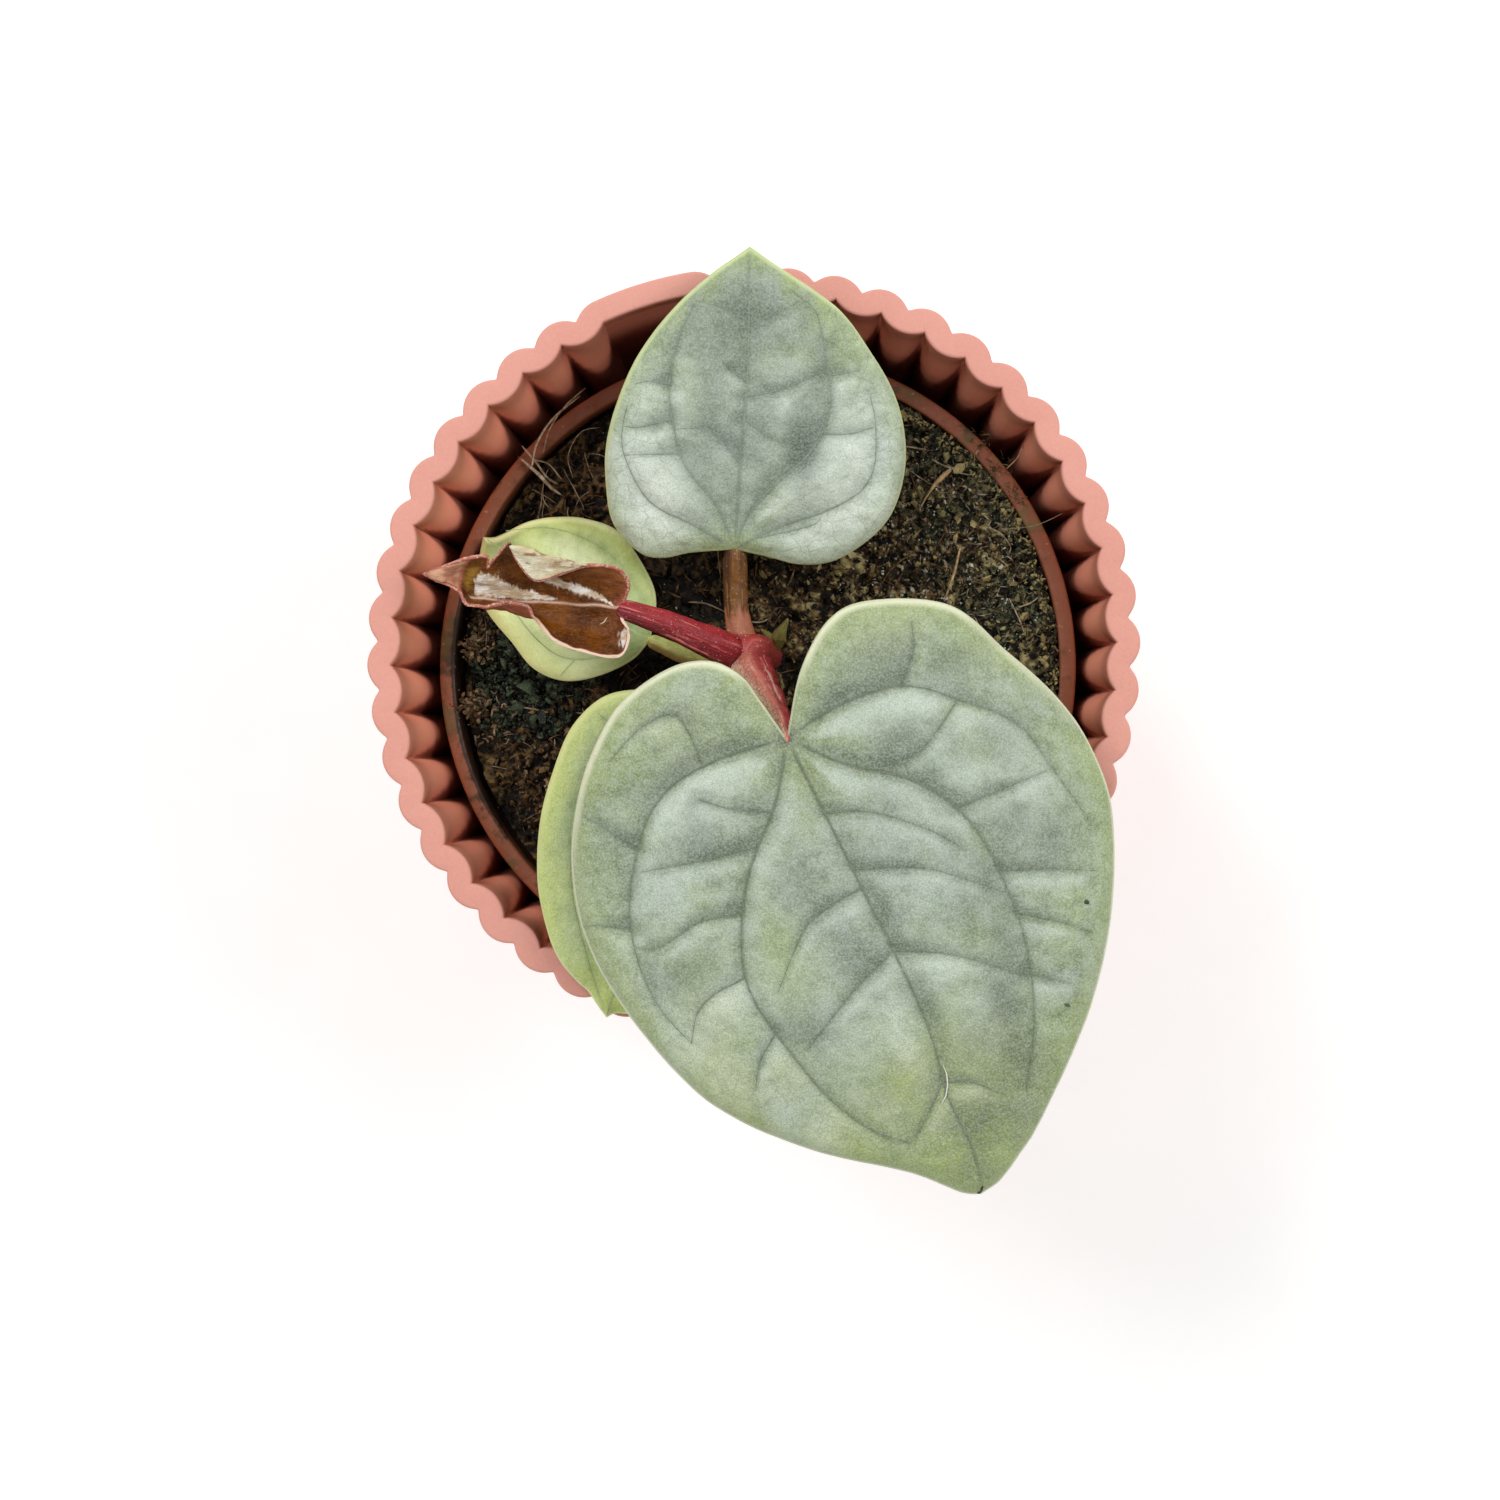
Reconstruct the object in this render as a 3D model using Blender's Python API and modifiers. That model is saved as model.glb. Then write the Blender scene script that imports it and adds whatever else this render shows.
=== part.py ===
"""A young potted anthurium: five heart-shaped leaves on one short stem, rooted in peat in a small
nursery pot, which stands inside a fluted cover pot.

Metres, +Z up. The origin is at the centre of the cover pot's flat underside. The large leaf reaches out
over the rim towards -Y, and the cover pot's plain panel is on the +Y side.
"""

import math

import bmesh
import bpy
from mathutils import Vector

# Clearance left between pieces that touch
GAP = 0.0003

# Cover pot: a fluted cup that narrows towards its foot
COVER_HEIGHT = 0.064
COVER_FLOOR = 0.003
COVER_GROOVE_R = 0.0340
COVER_CREST_R = 0.0350
COVER_LOBE_R = 0.0319
COVER_CUSP_R = 0.0328
COVER_LEAN = math.radians(3.0)
COVER_EDGE = 0.0005
FLUTE_PITCHES = 48
POINTS_PER_PITCH = 6
PANEL_START = math.radians(95.5)
PANEL_PITCHES = 3

# Nursery pot: a plain tapered pot with a thick lip, a little off the cover pot's axis
POT_X = 0.0002
POT_Y = -0.00095
POT_FOOT_Z = COVER_FLOOR + GAP
POT_TOP_Z = 0.0543
POT_LIP_R = 0.0300
POT_LIP_INNER_R = 0.0285
POT_LIP_DEPTH = 0.0040
POT_WALL_TOP_R = 0.0290
POT_WALL_FOOT_R = 0.0225
POT_WALL = 0.0009
POT_STEPS = 48
DRAIN_R = 0.0025
DRAIN_RING_R = 0.0150
DRAIN_COUNT = 5

# Soil: its surface lies lower on the left, where it was watered most
SOIL_LEVEL = 0.0522
SOIL_SLOPE_X = 0.022
SOIL_SLOPE_Y = 0.014
SOIL_SWELL = 0.0003
SOIL_SWELL_LENGTH = 0.0085
SOIL_STEPS = 36

# Stem: it leans a little and swells into the node that the leaf stalks leave
STEM_FOOT = Vector((0.0011, 0.0004, 0.0450))
STEM_TOP = Vector((0.0002, 0.0002, 0.0634))
STEM_R = 0.0015
NODE_R = 0.0021

# Leaf blades
BLADE = 0.0007


# ---------------------------------------------------------------- scene, materials, general shapes


def clear_scene():
    for thing in list(bpy.data.objects):
        bpy.data.objects.remove(thing, do_unlink=True)


def make_collection(name):
    collection = bpy.data.collections.new(name)
    bpy.context.scene.collection.children.link(collection)
    return collection


def make_material(name, colour, roughness, metallic=0.0):
    material = bpy.data.materials.new(name)
    material.use_nodes = True
    shader = material.node_tree.nodes["Principled BSDF"]
    shader.inputs["Base Color"].default_value = (*colour, 1.0)
    shader.inputs["Roughness"].default_value = roughness
    shader.inputs["Metallic"].default_value = metallic
    return material


def place(name, data, material):
    """Puts a mesh or curve into the plant's collection under its own name, with its material."""
    thing = bpy.data.objects.new(name, data)
    data.materials.append(material)
    PLANT.objects.link(thing)
    return thing


def smooth_line(points, count):
    """count + 1 points, evenly spaced along a Catmull-Rom curve through the given ones."""
    line = [Vector(p) for p in points]
    line = [2 * line[0] - line[1], *line, 2 * line[-1] - line[-2]]
    dense = []
    for a, b, c, d in zip(line, line[1:], line[2:], line[3:]):
        for k in range(16):
            t = k / 16
            dense.append(
                0.5 * (2 * b + t * (c - a) + t * t * (2 * a - 5 * b + 4 * c - d)
                       + t ** 3 * (3 * b - a - 3 * c + d))
            )
    dense.append(line[-2])
    walked = [0.0]
    for a, b in zip(dense, dense[1:]):
        walked.append(walked[-1] + (b - a).length)
    even = []
    for k in range(count + 1):
        target = walked[-1] * k / count
        i = next(j for j in range(1, len(walked)) if walked[j] >= target - 1e-12)
        share = (target - walked[i - 1]) / (walked[i] - walked[i - 1])
        even.append(dense[i - 1].lerp(dense[i], share))
    return even


def loft(name, rings, material):
    """One closed body through rings with the same number of points, capped at both ends."""
    mesh = bmesh.new()
    loops = [[mesh.verts.new(p) for p in ring] for ring in rings]
    for low, high in zip(loops, loops[1:]):
        for k in range(len(low)):
            mesh.faces.new((low[k - 1], low[k], high[k], high[k - 1]))
    mesh.faces.new(loops[0])
    mesh.faces.new(loops[-1])
    bmesh.ops.recalc_face_normals(mesh, faces=mesh.faces)
    data = bpy.data.meshes.new(name)
    mesh.to_mesh(data)
    mesh.free()
    return place(name, data, material)


def circle(radius, z, steps, x=0.0, y=0.0):
    turns = [math.tau * k / steps for k in range(steps)]
    return [Vector((x + radius * math.cos(t), y + radius * math.sin(t), z)) for t in turns]


def turned(name, profile, steps, material):
    """A round body about its own Z axis, from a profile of (radius, height) points."""
    data = bpy.data.meshes.new(name)
    points = [(radius, 0.0, z) for radius, z in profile]
    data.from_pydata(points, [(k, k + 1) for k in range(len(points) - 1)], [])
    body = place(name, data, material)
    screw = body.modifiers.new("Turn", "SCREW")
    screw.steps = steps
    screw.render_steps = steps
    screw.use_merge_vertices = True
    screw.merge_threshold = 0.00001
    return body


def tube(name, points, radii, material, steps=10):
    """A round stalk, root or straw along a smooth line, its radius going evenly through the given ones."""
    line = smooth_line(points, steps)
    curve = bpy.data.curves.new(name, "CURVE")
    curve.dimensions = "3D"
    curve.bevel_depth = 1.0
    curve.bevel_resolution = 3
    curve.use_fill_caps = True
    spline = curve.splines.new("POLY")
    spline.points.add(len(line) - 1)
    for k, point in enumerate(line):
        along = k / steps * (len(radii) - 1)
        i = min(int(along), len(radii) - 2)
        spline.points[k].co = (*point, 1.0)
        spline.points[k].radius = radii[i] + (radii[i + 1] - radii[i]) * (along - i)
    return place(name, curve, material)


def cut(body, cutter):
    """Takes the cutter's shape out of the body."""
    cutter.hide_render = True
    cutter.display_type = "WIRE"
    for collection in list(cutter.users_collection):
        collection.objects.unlink(cutter)
    CUTTERS.objects.link(cutter)
    modifier = body.modifiers.new("Cut " + cutter.name, "BOOLEAN")
    modifier.operation = "DIFFERENCE"
    modifier.object = cutter


# ---------------------------------------------------------------- pots


def flute_fullness(angle):
    """0 in the groove between two flutes, 1 on a flute's crest and all along the plain panel."""
    pitch = math.tau / FLUTE_PITCHES
    turned = (angle - PANEL_START + 1e-9) % math.tau
    panel = PANEL_PITCHES * pitch
    span = panel if turned < panel else pitch
    into = turned if turned < panel else (turned - panel) % pitch
    return min(1.0, min(into, span - into) / (pitch / 2))


def cover_ring(z, outside, trim=0.0):
    """The cover pot's outline at one height, outside or inside, less or plus an edge trim."""
    count = FLUTE_PITCHES * POINTS_PER_PITCH
    lean = (COVER_HEIGHT - z) * math.tan(COVER_LEAN)
    ring = []
    for k in range(count):
        angle = PANEL_START + math.tau * k / count
        swing = flute_fullness(angle) * math.pi / 2
        if outside:
            radius = COVER_GROOVE_R + (COVER_CREST_R - COVER_GROOVE_R) * math.sin(swing) - trim
        else:
            radius = COVER_LOBE_R + (COVER_CUSP_R - COVER_LOBE_R) * (1 - math.cos(swing)) + trim
        radius -= lean
        ring.append(Vector((radius * math.cos(angle), radius * math.sin(angle), z)))
    return ring


def make_cover_pot():
    rings = [
        cover_ring(0.0, True, COVER_EDGE),
        cover_ring(COVER_EDGE, True),
        cover_ring(COVER_HEIGHT - COVER_EDGE, True),
        cover_ring(COVER_HEIGHT, True, COVER_EDGE),
        cover_ring(COVER_HEIGHT, False, COVER_EDGE / 2),
        cover_ring(COVER_HEIGHT - COVER_EDGE / 2, False),
        cover_ring(COVER_FLOOR, False),
    ]
    return loft("cover_pot", rings, make_material("Salmon plastic", (0.78, 0.36, 0.29), 0.6))


def pot_inner_radius(z):
    """The nursery pot's inside radius at a height."""
    step_z = POT_TOP_Z - POT_LIP_DEPTH
    if z >= step_z:
        return POT_LIP_INNER_R
    share = (z - POT_FOOT_Z) / (step_z - POT_FOOT_Z)
    return POT_WALL_FOOT_R + (POT_WALL_TOP_R - POT_WALL_FOOT_R) * share - POT_WALL


def make_nursery_pot():
    """Turned from a profile that runs up the inside, over the lip and down the outside."""
    step_z = POT_TOP_Z - POT_LIP_DEPTH
    below_step_z = step_z - 0.0004
    floor_z = POT_FOOT_Z + POT_WALL
    profile = [
        (0.0, floor_z),
        (pot_inner_radius(floor_z), floor_z),
        (pot_inner_radius(below_step_z), below_step_z),
        (POT_LIP_INNER_R - 0.0001, step_z),
        (POT_LIP_INNER_R, POT_TOP_Z),
        (POT_LIP_R, POT_TOP_Z),
        (POT_LIP_R - 0.0001, step_z),
        (POT_WALL_TOP_R, below_step_z),
        (POT_WALL_FOOT_R, POT_FOOT_Z),
        (0.0, POT_FOOT_Z),
    ]
    pot = turned("nursery_pot", profile, POT_STEPS, make_material("Brown plastic", (0.36, 0.115, 0.08), 0.42))
    pot.location = (POT_X, POT_Y, 0.0)
    for k in range(DRAIN_COUNT):
        turn = math.tau * k / DRAIN_COUNT
        bpy.ops.mesh.primitive_cylinder_add(
            vertices=16,
            radius=DRAIN_R,
            depth=0.006,
            location=(POT_X + DRAIN_RING_R * math.cos(turn), POT_Y + DRAIN_RING_R * math.sin(turn), floor_z),
        )
        drain = bpy.context.object
        drain.name = f"Drain hole {k + 1}"
        cut(pot, drain)
    return pot


# ---------------------------------------------------------------- soil and what lies on it


def soil_top(x, y):
    """Height of the soil's surface: a gentle slope with low swells."""
    swell = math.sin(x / SOIL_SWELL_LENGTH + 0.6) * math.cos(y / SOIL_SWELL_LENGTH - 0.4)
    return SOIL_LEVEL + SOIL_SLOPE_X * x + SOIL_SLOPE_Y * y + SOIL_SWELL * swell


def make_soil():
    floor_z = POT_FOOT_Z + POT_WALL + GAP
    step_z = POT_TOP_Z - POT_LIP_DEPTH
    rings = []
    for z in (floor_z, step_z - 0.001):
        rings.append(circle(pot_inner_radius(z) - GAP, z, SOIL_STEPS, POT_X, POT_Y))
    edge = pot_inner_radius(step_z - 0.001) - GAP
    for share in (1.0, 0.86, 0.68, 0.5, 0.32, 0.16, 0.05):
        ring = circle(edge * share, 0.0, SOIL_STEPS, POT_X, POT_Y)
        rings.append([Vector((p.x, p.y, soil_top(p.x, p.y))) for p in ring])
    soil = loft("soil", rings, make_material("Peat", (0.035, 0.022, 0.015), 0.95))
    bpy.ops.mesh.primitive_cylinder_add(
        vertices=24,
        radius=STEM_R + 2 * GAP,
        depth=0.020,
        location=STEM_FOOT + Vector((-0.0002, 0.0, 0.0097)),
    )
    socket = bpy.context.object
    socket.name = "Stem socket"
    cut(soil, socket)
    return soil


def make_mound(name, x, y, half_x, half_y, height, material, steps=20):
    """A low mound that lies on the soil and follows its surface."""
    rings = []
    for share, rise in ((0.4, 0.0), (0.9, 0.0), (1.0, 0.25), (0.85, 0.75), (0.5, 1.0), (0.15, 1.0)):
        ring = []
        for k in range(steps):
            turn = math.tau * k / steps
            px = x + half_x * share * math.cos(turn)
            py = y + half_y * share * math.sin(turn)
            ring.append(Vector((px, py, soil_top(px, py) + GAP + height * rise)))
        rings.append(ring)
    return loft(name, rings, material)


def on_soil(x, y, lift):
    return (x, y, soil_top(x, y) + GAP + lift)


def make_litter():
    """Moss, pale roots that have climbed over the lip, and straw on the soil."""
    moss = make_material("Moss", (0.05, 0.07, 0.04), 0.9)
    root = make_material("Root", (0.55, 0.47, 0.36), 0.7)
    straw = make_material("Straw", (0.45, 0.33, 0.17), 0.7)
    make_mound("moss_clump", -0.0225, -0.0020, 0.0042, 0.0048, 0.0011, moss)
    over_lip = POT_TOP_Z + GAP
    tube(
        "root_thick",
        [(-0.0224, 0.0190, over_lip + 0.0004), (-0.0212, 0.0180, over_lip + 0.0004), (-0.0201, 0.0170, 0.0541),
         on_soil(-0.0192, 0.0160, 0.0005)],
        [0.00015, 0.00030, 0.00030, 0.00018],
        root,
        8,
    )
    tube(
        "root_thread",
        [(-0.0165, 0.0248, over_lip - 0.0010), (-0.0189, 0.0225, over_lip + 0.0004),
         (-0.0204, 0.0202, over_lip + 0.0006), (-0.0209, 0.0178, over_lip + 0.0011)],
        [0.00008, 0.00013, 0.00013, 0.00009],
        root,
        10,
    )
    tube(
        "straw_bent",
        [on_soil(0.0154, 0.0139, 0.0002), on_soil(0.0161, 0.0160, 0.0003), on_soil(0.0180, 0.0176, 0.0002)],
        [0.00020, 0.00024, 0.00014],
        straw,
        8,
    )
    tube(
        "straw_thin",
        [on_soil(0.0194, 0.0106, 0.0001), on_soil(0.0188, 0.0080, 0.0002), on_soil(0.0179, 0.0054, 0.0001)],
        [0.00010, 0.00014, 0.00008],
        straw,
        8,
    )


# ---------------------------------------------------------------- stem, stalks and leaves


def make_stem(material):
    """The foot in the soil, the bare stem, and the swollen node with a rounded top."""
    line = [STEM_FOOT, STEM_FOOT.lerp(STEM_TOP, 0.45), STEM_FOOT.lerp(STEM_TOP, 0.75), STEM_TOP]
    radii = [STEM_R, STEM_R, STEM_R, STEM_R, 0.0016, NODE_R, NODE_R, 0.0012]
    return tube("stem", line, radii, material, 14)


def make_blade(name, base, tip, near_side, far_side, bow, arch, droop, material, rows=14, columns=4):
    """A heart-shaped leaf blade.

    near_side and far_side are the two halves of its margin, from the notch at the stalk to the tip, as
    (distance along, distance across) from the base in the base-to-tip direction; across is positive
    to the left of that direction. bow bends the midrib sideways, arch lifts the middle of it, and
    droop lowers a margin at the blade's half width.
    """
    base, tip = Vector(base), Vector(tip)
    ahead = Vector((tip.x - base.x, tip.y - base.y, 0.0))
    length = ahead.length
    ahead.normalize()
    aside = Vector((-ahead.y, ahead.x, 0.0))
    half_width = max(abs(across) for _, across in near_side + far_side)

    def point(along, across):
        share = along / length
        inside = min(max(share, 0.0), 1.0)
        height = (tip.z - base.z) * max(share, -0.05) + arch * 4 * inside * (1 - inside)
        height -= droop * (across / half_width) ** 2
        return base + ahead * along + aside * across + Vector((0.0, 0.0, height))

    margins = [smooth_line([(*p, 0.0) for p in side], rows) for side in (near_side, far_side)]
    mesh = bmesh.new()
    grid = []
    for row in range(rows + 1):
        share = (row / rows) ** 1.5
        rib = Vector((length * share, bow * math.sin(math.pi * share), 0.0))
        line = [rib.lerp(margins[0][row], k / columns) for k in range(columns, 0, -1)]
        line += [rib.lerp(margins[1][row], k / columns) for k in range(columns + 1)]
        grid.append([mesh.verts.new(point(p.x, p.y)) for p in line])
    for low, high in zip(grid, grid[1:]):
        for k in range(2 * columns):
            mesh.faces.new((low[k], low[k + 1], high[k + 1], high[k]))
    bmesh.ops.remove_doubles(mesh, verts=mesh.verts, dist=0.00002)
    bmesh.ops.recalc_face_normals(mesh, faces=mesh.faces)
    data = bpy.data.meshes.new(name)
    mesh.to_mesh(data)
    mesh.free()
    data.shade_smooth()
    blade = place(name, data, material)
    skin = blade.modifiers.new("Thickness", "SOLIDIFY")
    skin.thickness = BLADE
    skin.offset = 0.0
    return blade


def make_leaves():
    silver = make_material("Silver leaf", (0.36, 0.44, 0.34), 0.5)
    lime = make_material("Lime leaf", (0.42, 0.50, 0.20), 0.5)
    brown = make_material("Young leaf", (0.15, 0.045, 0.02), 0.3)
    make_blade(
        "leaf_front", (0.0032, -0.0076, 0.0750), (0.0203, -0.0476, 0.0700),
        [(0, 0), (-0.0050, 0.0035), (-0.0080, 0.0075), (-0.0080, 0.0115), (-0.0050, 0.0175), (0.0005, 0.0205),
         (0.0060, 0.0230), (0.0110, 0.0240), (0.0170, 0.0235), (0.0250, 0.0200), (0.0320, 0.0150),
         (0.0395, 0.0075), (0.0435, 0)],
        [(0, 0), (-0.0055, -0.0010), (-0.0085, -0.0035), (-0.0090, -0.0070), (-0.0080, -0.0120),
         (-0.0055, -0.0160), (-0.0020, -0.0190), (0.0025, -0.0215), (0.0085, -0.0230), (0.0155, -0.0225),
         (0.0240, -0.0200), (0.0290, -0.0170), (0.0340, -0.0120), (0.0380, -0.0065), (0.0435, 0)],
        0.0013, 0.0024, 0.0040, silver, rows=22, columns=5,
    )
    make_blade(
        "leaf_back", (-0.0016, 0.0095, 0.0630), (-0.0001, 0.0358, 0.0690),
        [(0, 0), (-0.0005, 0.0040), (-0.0010, 0.0065), (-0.0005, 0.0085), (0.0020, 0.0110), (0.0055, 0.0120),
         (0.0090, 0.0120), (0.0130, 0.0110), (0.0170, 0.0092), (0.0210, 0.0062), (0.0240, 0.0030), (0.0263, 0)],
        [(0, 0), (-0.0005, -0.0030), (-0.0010, -0.0060), (-0.0005, -0.0090), (0.0015, -0.0120),
         (0.0040, -0.0140), (0.0075, -0.0149), (0.0110, -0.0147), (0.0145, -0.0135), (0.0180, -0.0111),
         (0.0215, -0.0080), (0.0245, -0.0030), (0.0263, 0)],
        -0.0003, 0.0008, 0.0010, silver, rows=16, columns=4,
    )
    make_blade(
        "leaf_side", (-0.0046, -0.0062, 0.0660), (-0.0130, -0.0326, 0.0665),
        [(0, 0), (-0.0015, 0.0040), (0, 0.0085), (0.0035, 0.0105), (0.0080, 0.0110), (0.0130, 0.0105),
         (0.0180, 0.0085), (0.0220, 0.0060), (0.0255, 0.0025), (0.0277, 0)],
        [(0, 0), (-0.0015, -0.0040), (0, -0.0085), (0.0035, -0.0108), (0.0080, -0.0113), (0.0130, -0.0110),
         (0.0180, -0.0096), (0.0220, -0.0074), (0.0250, -0.0037), (0.0277, 0)],
        0.0, 0.0004, 0.0005, lime,
    )
    make_blade(
        "leaf_small", (-0.0097, 0.0015, 0.0570), (-0.0255, 0.0113, 0.0560),
        [(0, 0), (0.0005, 0.0025), (0.0025, 0.0055), (0.0050, 0.0075), (0.0080, 0.0080), (0.0110, 0.0070),
         (0.0150, 0.0055), (0.0175, 0.0025), (0.0186, 0)],
        [(0, 0), (0.0015, -0.0035), (0.0040, -0.0055), (0.0080, -0.0071), (0.0115, -0.0065), (0.0150, -0.0045),
         (0.0175, -0.0014), (0.0186, 0)],
        0.0, 0.0004, 0.0005, lime, rows=12, columns=3,
    )
    make_blade(
        "leaf_new", (-0.0115, 0.0040, 0.0675), (-0.0293, 0.0070, 0.0672),
        [(0, 0), (-0.0011, 0.0020), (-0.0008, 0.0040), (0.0010, 0.0048), (0.0035, 0.0046), (0.0065, 0.0032),
         (0.0090, 0.0015), (0.0120, 0.0020), (0.0145, 0.0015), (0.0180, 0)],
        [(0, 0), (-0.0004, -0.0020), (0.0010, -0.0031), (0.0040, -0.0032), (0.0080, -0.0034),
         (0.0110, -0.0038), (0.0135, -0.0026), (0.0160, -0.0017), (0.0180, 0)],
        0.0008, 0.0003, -0.0025, brown, rows=12, columns=3,
    )


def make_stalks():
    red = make_material("Red stalk", (0.30, 0.03, 0.035), 0.45)
    brown = make_material("Brown stalk", (0.22, 0.08, 0.03), 0.5)
    olive = make_material("Olive stalk", (0.20, 0.19, 0.06), 0.5)
    make_stem(red)
    tube(
        "petiole_front",
        [(0.0010, -0.0024, 0.0630), (0.0017, -0.0040, 0.0665), (0.0026, -0.0062, 0.0712), (0.0030, -0.0070, 0.0742)],
        [0.0013, 0.0011, 0.0008, 0.0006], red,
    )
    tube(
        "petiole_back",
        [(-0.0002, 0.0027, 0.0612), (-0.0007, 0.0045, 0.0614), (-0.0013, 0.0070, 0.0620), (-0.0016, 0.0090, 0.0629)],
        [0.0013, 0.0012, 0.0011, 0.0008], brown,
    )
    tube(
        "petiole_new",
        [(-0.0017, 0.0003, 0.0630), (-0.0050, 0.0016, 0.0648), (-0.0082, 0.0028, 0.0663), (-0.0106, 0.0037, 0.0670)],
        [0.0013, 0.0013, 0.0011, 0.0008], red,
    )
    tube(
        "petiole_small",
        [(-0.0015, 0.0001, 0.0540), (-0.0040, 0.0002, 0.0548), (-0.0070, 0.0009, 0.0560), (-0.0093, 0.0014, 0.0567)],
        [0.0006, 0.0006, 0.0006, 0.0005], olive,
    )
    tube(
        "petiole_side",
        [(-0.0012, -0.0022, 0.0575), (-0.0025, -0.0034, 0.0600), (-0.0040, -0.0050, 0.0635), (-0.0045, -0.0057, 0.0652)],
        [0.0008, 0.0007, 0.0006, 0.0005], olive,
    )
    tube(
        "shoot",
        [(0.0027, 0.0016, 0.0562), (0.0031, 0.0023, 0.0575), (0.0037, 0.0032, 0.0592)],
        [0.0005, 0.0007, 0.0005, 0.0001], olive, 6,
    )


clear_scene()
PLANT = make_collection("Potted anthurium")
CUTTERS = make_collection("Cutters")
make_cover_pot()
make_nursery_pot()
make_soil()
make_litter()
make_stalks()
make_leaves()
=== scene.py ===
"""Looks of the young potted anthurium: leaves with sunken veins, red stalks, crumbly peat, the two pots.

Lengths are in metres. Only a leaf's own numbers and those that pass through mm() are in millimetres.
Colours are written as a display shows them, 0 to 255.
"""

import math
import random

import bmesh
import bpy
import numpy as np
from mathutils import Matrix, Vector, noise


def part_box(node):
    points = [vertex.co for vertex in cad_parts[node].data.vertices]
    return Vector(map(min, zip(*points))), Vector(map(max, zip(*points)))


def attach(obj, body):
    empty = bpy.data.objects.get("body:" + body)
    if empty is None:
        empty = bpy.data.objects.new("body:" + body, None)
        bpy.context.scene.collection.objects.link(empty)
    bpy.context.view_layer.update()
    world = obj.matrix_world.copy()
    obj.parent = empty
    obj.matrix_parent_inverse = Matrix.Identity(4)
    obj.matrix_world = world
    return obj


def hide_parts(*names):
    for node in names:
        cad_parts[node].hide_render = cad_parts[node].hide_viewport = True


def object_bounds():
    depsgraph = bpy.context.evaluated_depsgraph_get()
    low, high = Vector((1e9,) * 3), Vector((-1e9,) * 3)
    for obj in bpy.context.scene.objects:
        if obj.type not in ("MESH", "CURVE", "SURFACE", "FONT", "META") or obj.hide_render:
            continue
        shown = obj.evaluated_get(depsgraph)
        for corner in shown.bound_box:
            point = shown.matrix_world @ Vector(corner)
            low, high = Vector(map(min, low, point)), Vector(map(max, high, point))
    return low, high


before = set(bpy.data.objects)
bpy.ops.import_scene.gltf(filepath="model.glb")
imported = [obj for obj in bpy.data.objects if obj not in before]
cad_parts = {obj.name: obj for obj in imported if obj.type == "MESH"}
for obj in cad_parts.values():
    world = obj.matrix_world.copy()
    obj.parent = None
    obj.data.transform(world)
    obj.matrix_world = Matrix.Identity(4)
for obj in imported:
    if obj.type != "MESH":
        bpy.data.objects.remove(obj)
cad_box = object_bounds()

# Cover pot, as in the frame. The radii are at the rim: grooves and crests outside, lobes and cusps inside
COVER_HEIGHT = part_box("cover_pot")[1].z
COVER_FLOOR = 0.003
COVER_GROOVE_R = 0.0340
COVER_CREST_R = 0.03494
COVER_LOBE_R = 0.0319
COVER_CUSP_R = 0.0328
COVER_LEAN = math.radians(3.0)
COVER_RINGS = (0.6, 1.2, 2.4, 3.6, 5, 6.5, 8, 10, 12, 14, 17, 24)  # below the rim, in millimetres
FLUTE_PITCHES = 48
FLUTE_STEPS = 24
PANEL_START = math.radians(95.5)
PANEL_PITCHES = 3

# Nursery pot and soil, as in the frame
POT_LOW, POT_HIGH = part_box("nursery_pot")
POT_X = (POT_LOW.x + POT_HIGH.x) / 2
POT_Y = (POT_LOW.y + POT_HIGH.y) / 2
POT_LIP_R = (POT_HIGH.x - POT_LOW.x) / 2
POT_LIP_INNER_R = POT_LIP_R - 0.0015
POT_LIP_DEPTH = 0.0040
POT_WALL_TOP_R = 0.0290
POT_WALL_FOOT_R = 0.0225
POT_WALL = 0.0009
SOIL_R = 0.0280
SOIL_LEVEL = 0.0522
SOIL_SLOPE_X = 0.022
SOIL_SLOPE_Y = 0.014
# Soil stains on the lip: degrees round it, reach in degrees, strength
LIP_GRIME = ((176, 7, 1.0), (190, 4, 0.7), (47, 4, 0.6), (29, 3, 0.7), (140, 12, 0.3), (-140, 14, 0.4),
             (62, 9, 0.5), (38, 7, 0.45), (-156, 9, 0.4), (-170, 5, 0.5))

# Where loose grains and fibres gather on the soil
RIGHT_BED = (0.0180, 0.0090)
MOSS_CLUMP = (-0.0222, -0.0010)

BLADE = 0.0007  # a leaf's thickness
MERGE = 0.0000015  # points of two faces that meet lie closer than this
# Direction in plan from which the leaves' painted light and painted highlights fall
LIGHT_SIDE = np.array([-0.35, 0.94, 0.0])


# ---------------------------------------------------------------- small helpers


def mm(points):
    """Points given in millimetres, as an array in metres."""
    return np.array(points, float) * 0.001


def linear(colour):
    """A colour as a display shows it, as the linear values a shader takes."""
    parts = [c / 255 for c in colour]
    return [c / 12.92 if c <= 0.04045 else ((c + 0.055) / 1.055) ** 2.4 for c in parts]


def curve(points, steps):
    """A Catmull-Rom curve through the points, with that many steps between two of them."""
    line = np.array(points, float)
    line = np.vstack([2 * line[0] - line[1], line, 2 * line[-1] - line[-2]])
    t = np.arange(steps)[:, None] / steps
    spans = []
    for a, b, c, d in zip(line, line[1:], line[2:], line[3:]):
        spans.append(0.5 * (2 * b + t * (c - a) + t**2 * (2 * a - 5 * b + 4 * c - d)
                            + t**3 * (3 * b - a - 3 * c + d)))
    return np.vstack([*spans, line[-2]])


def walk(line):
    """How far along a line each of its points lies."""
    return np.concatenate([[0], np.cumsum(np.linalg.norm(np.diff(line, axis=0), axis=1))])


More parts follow.
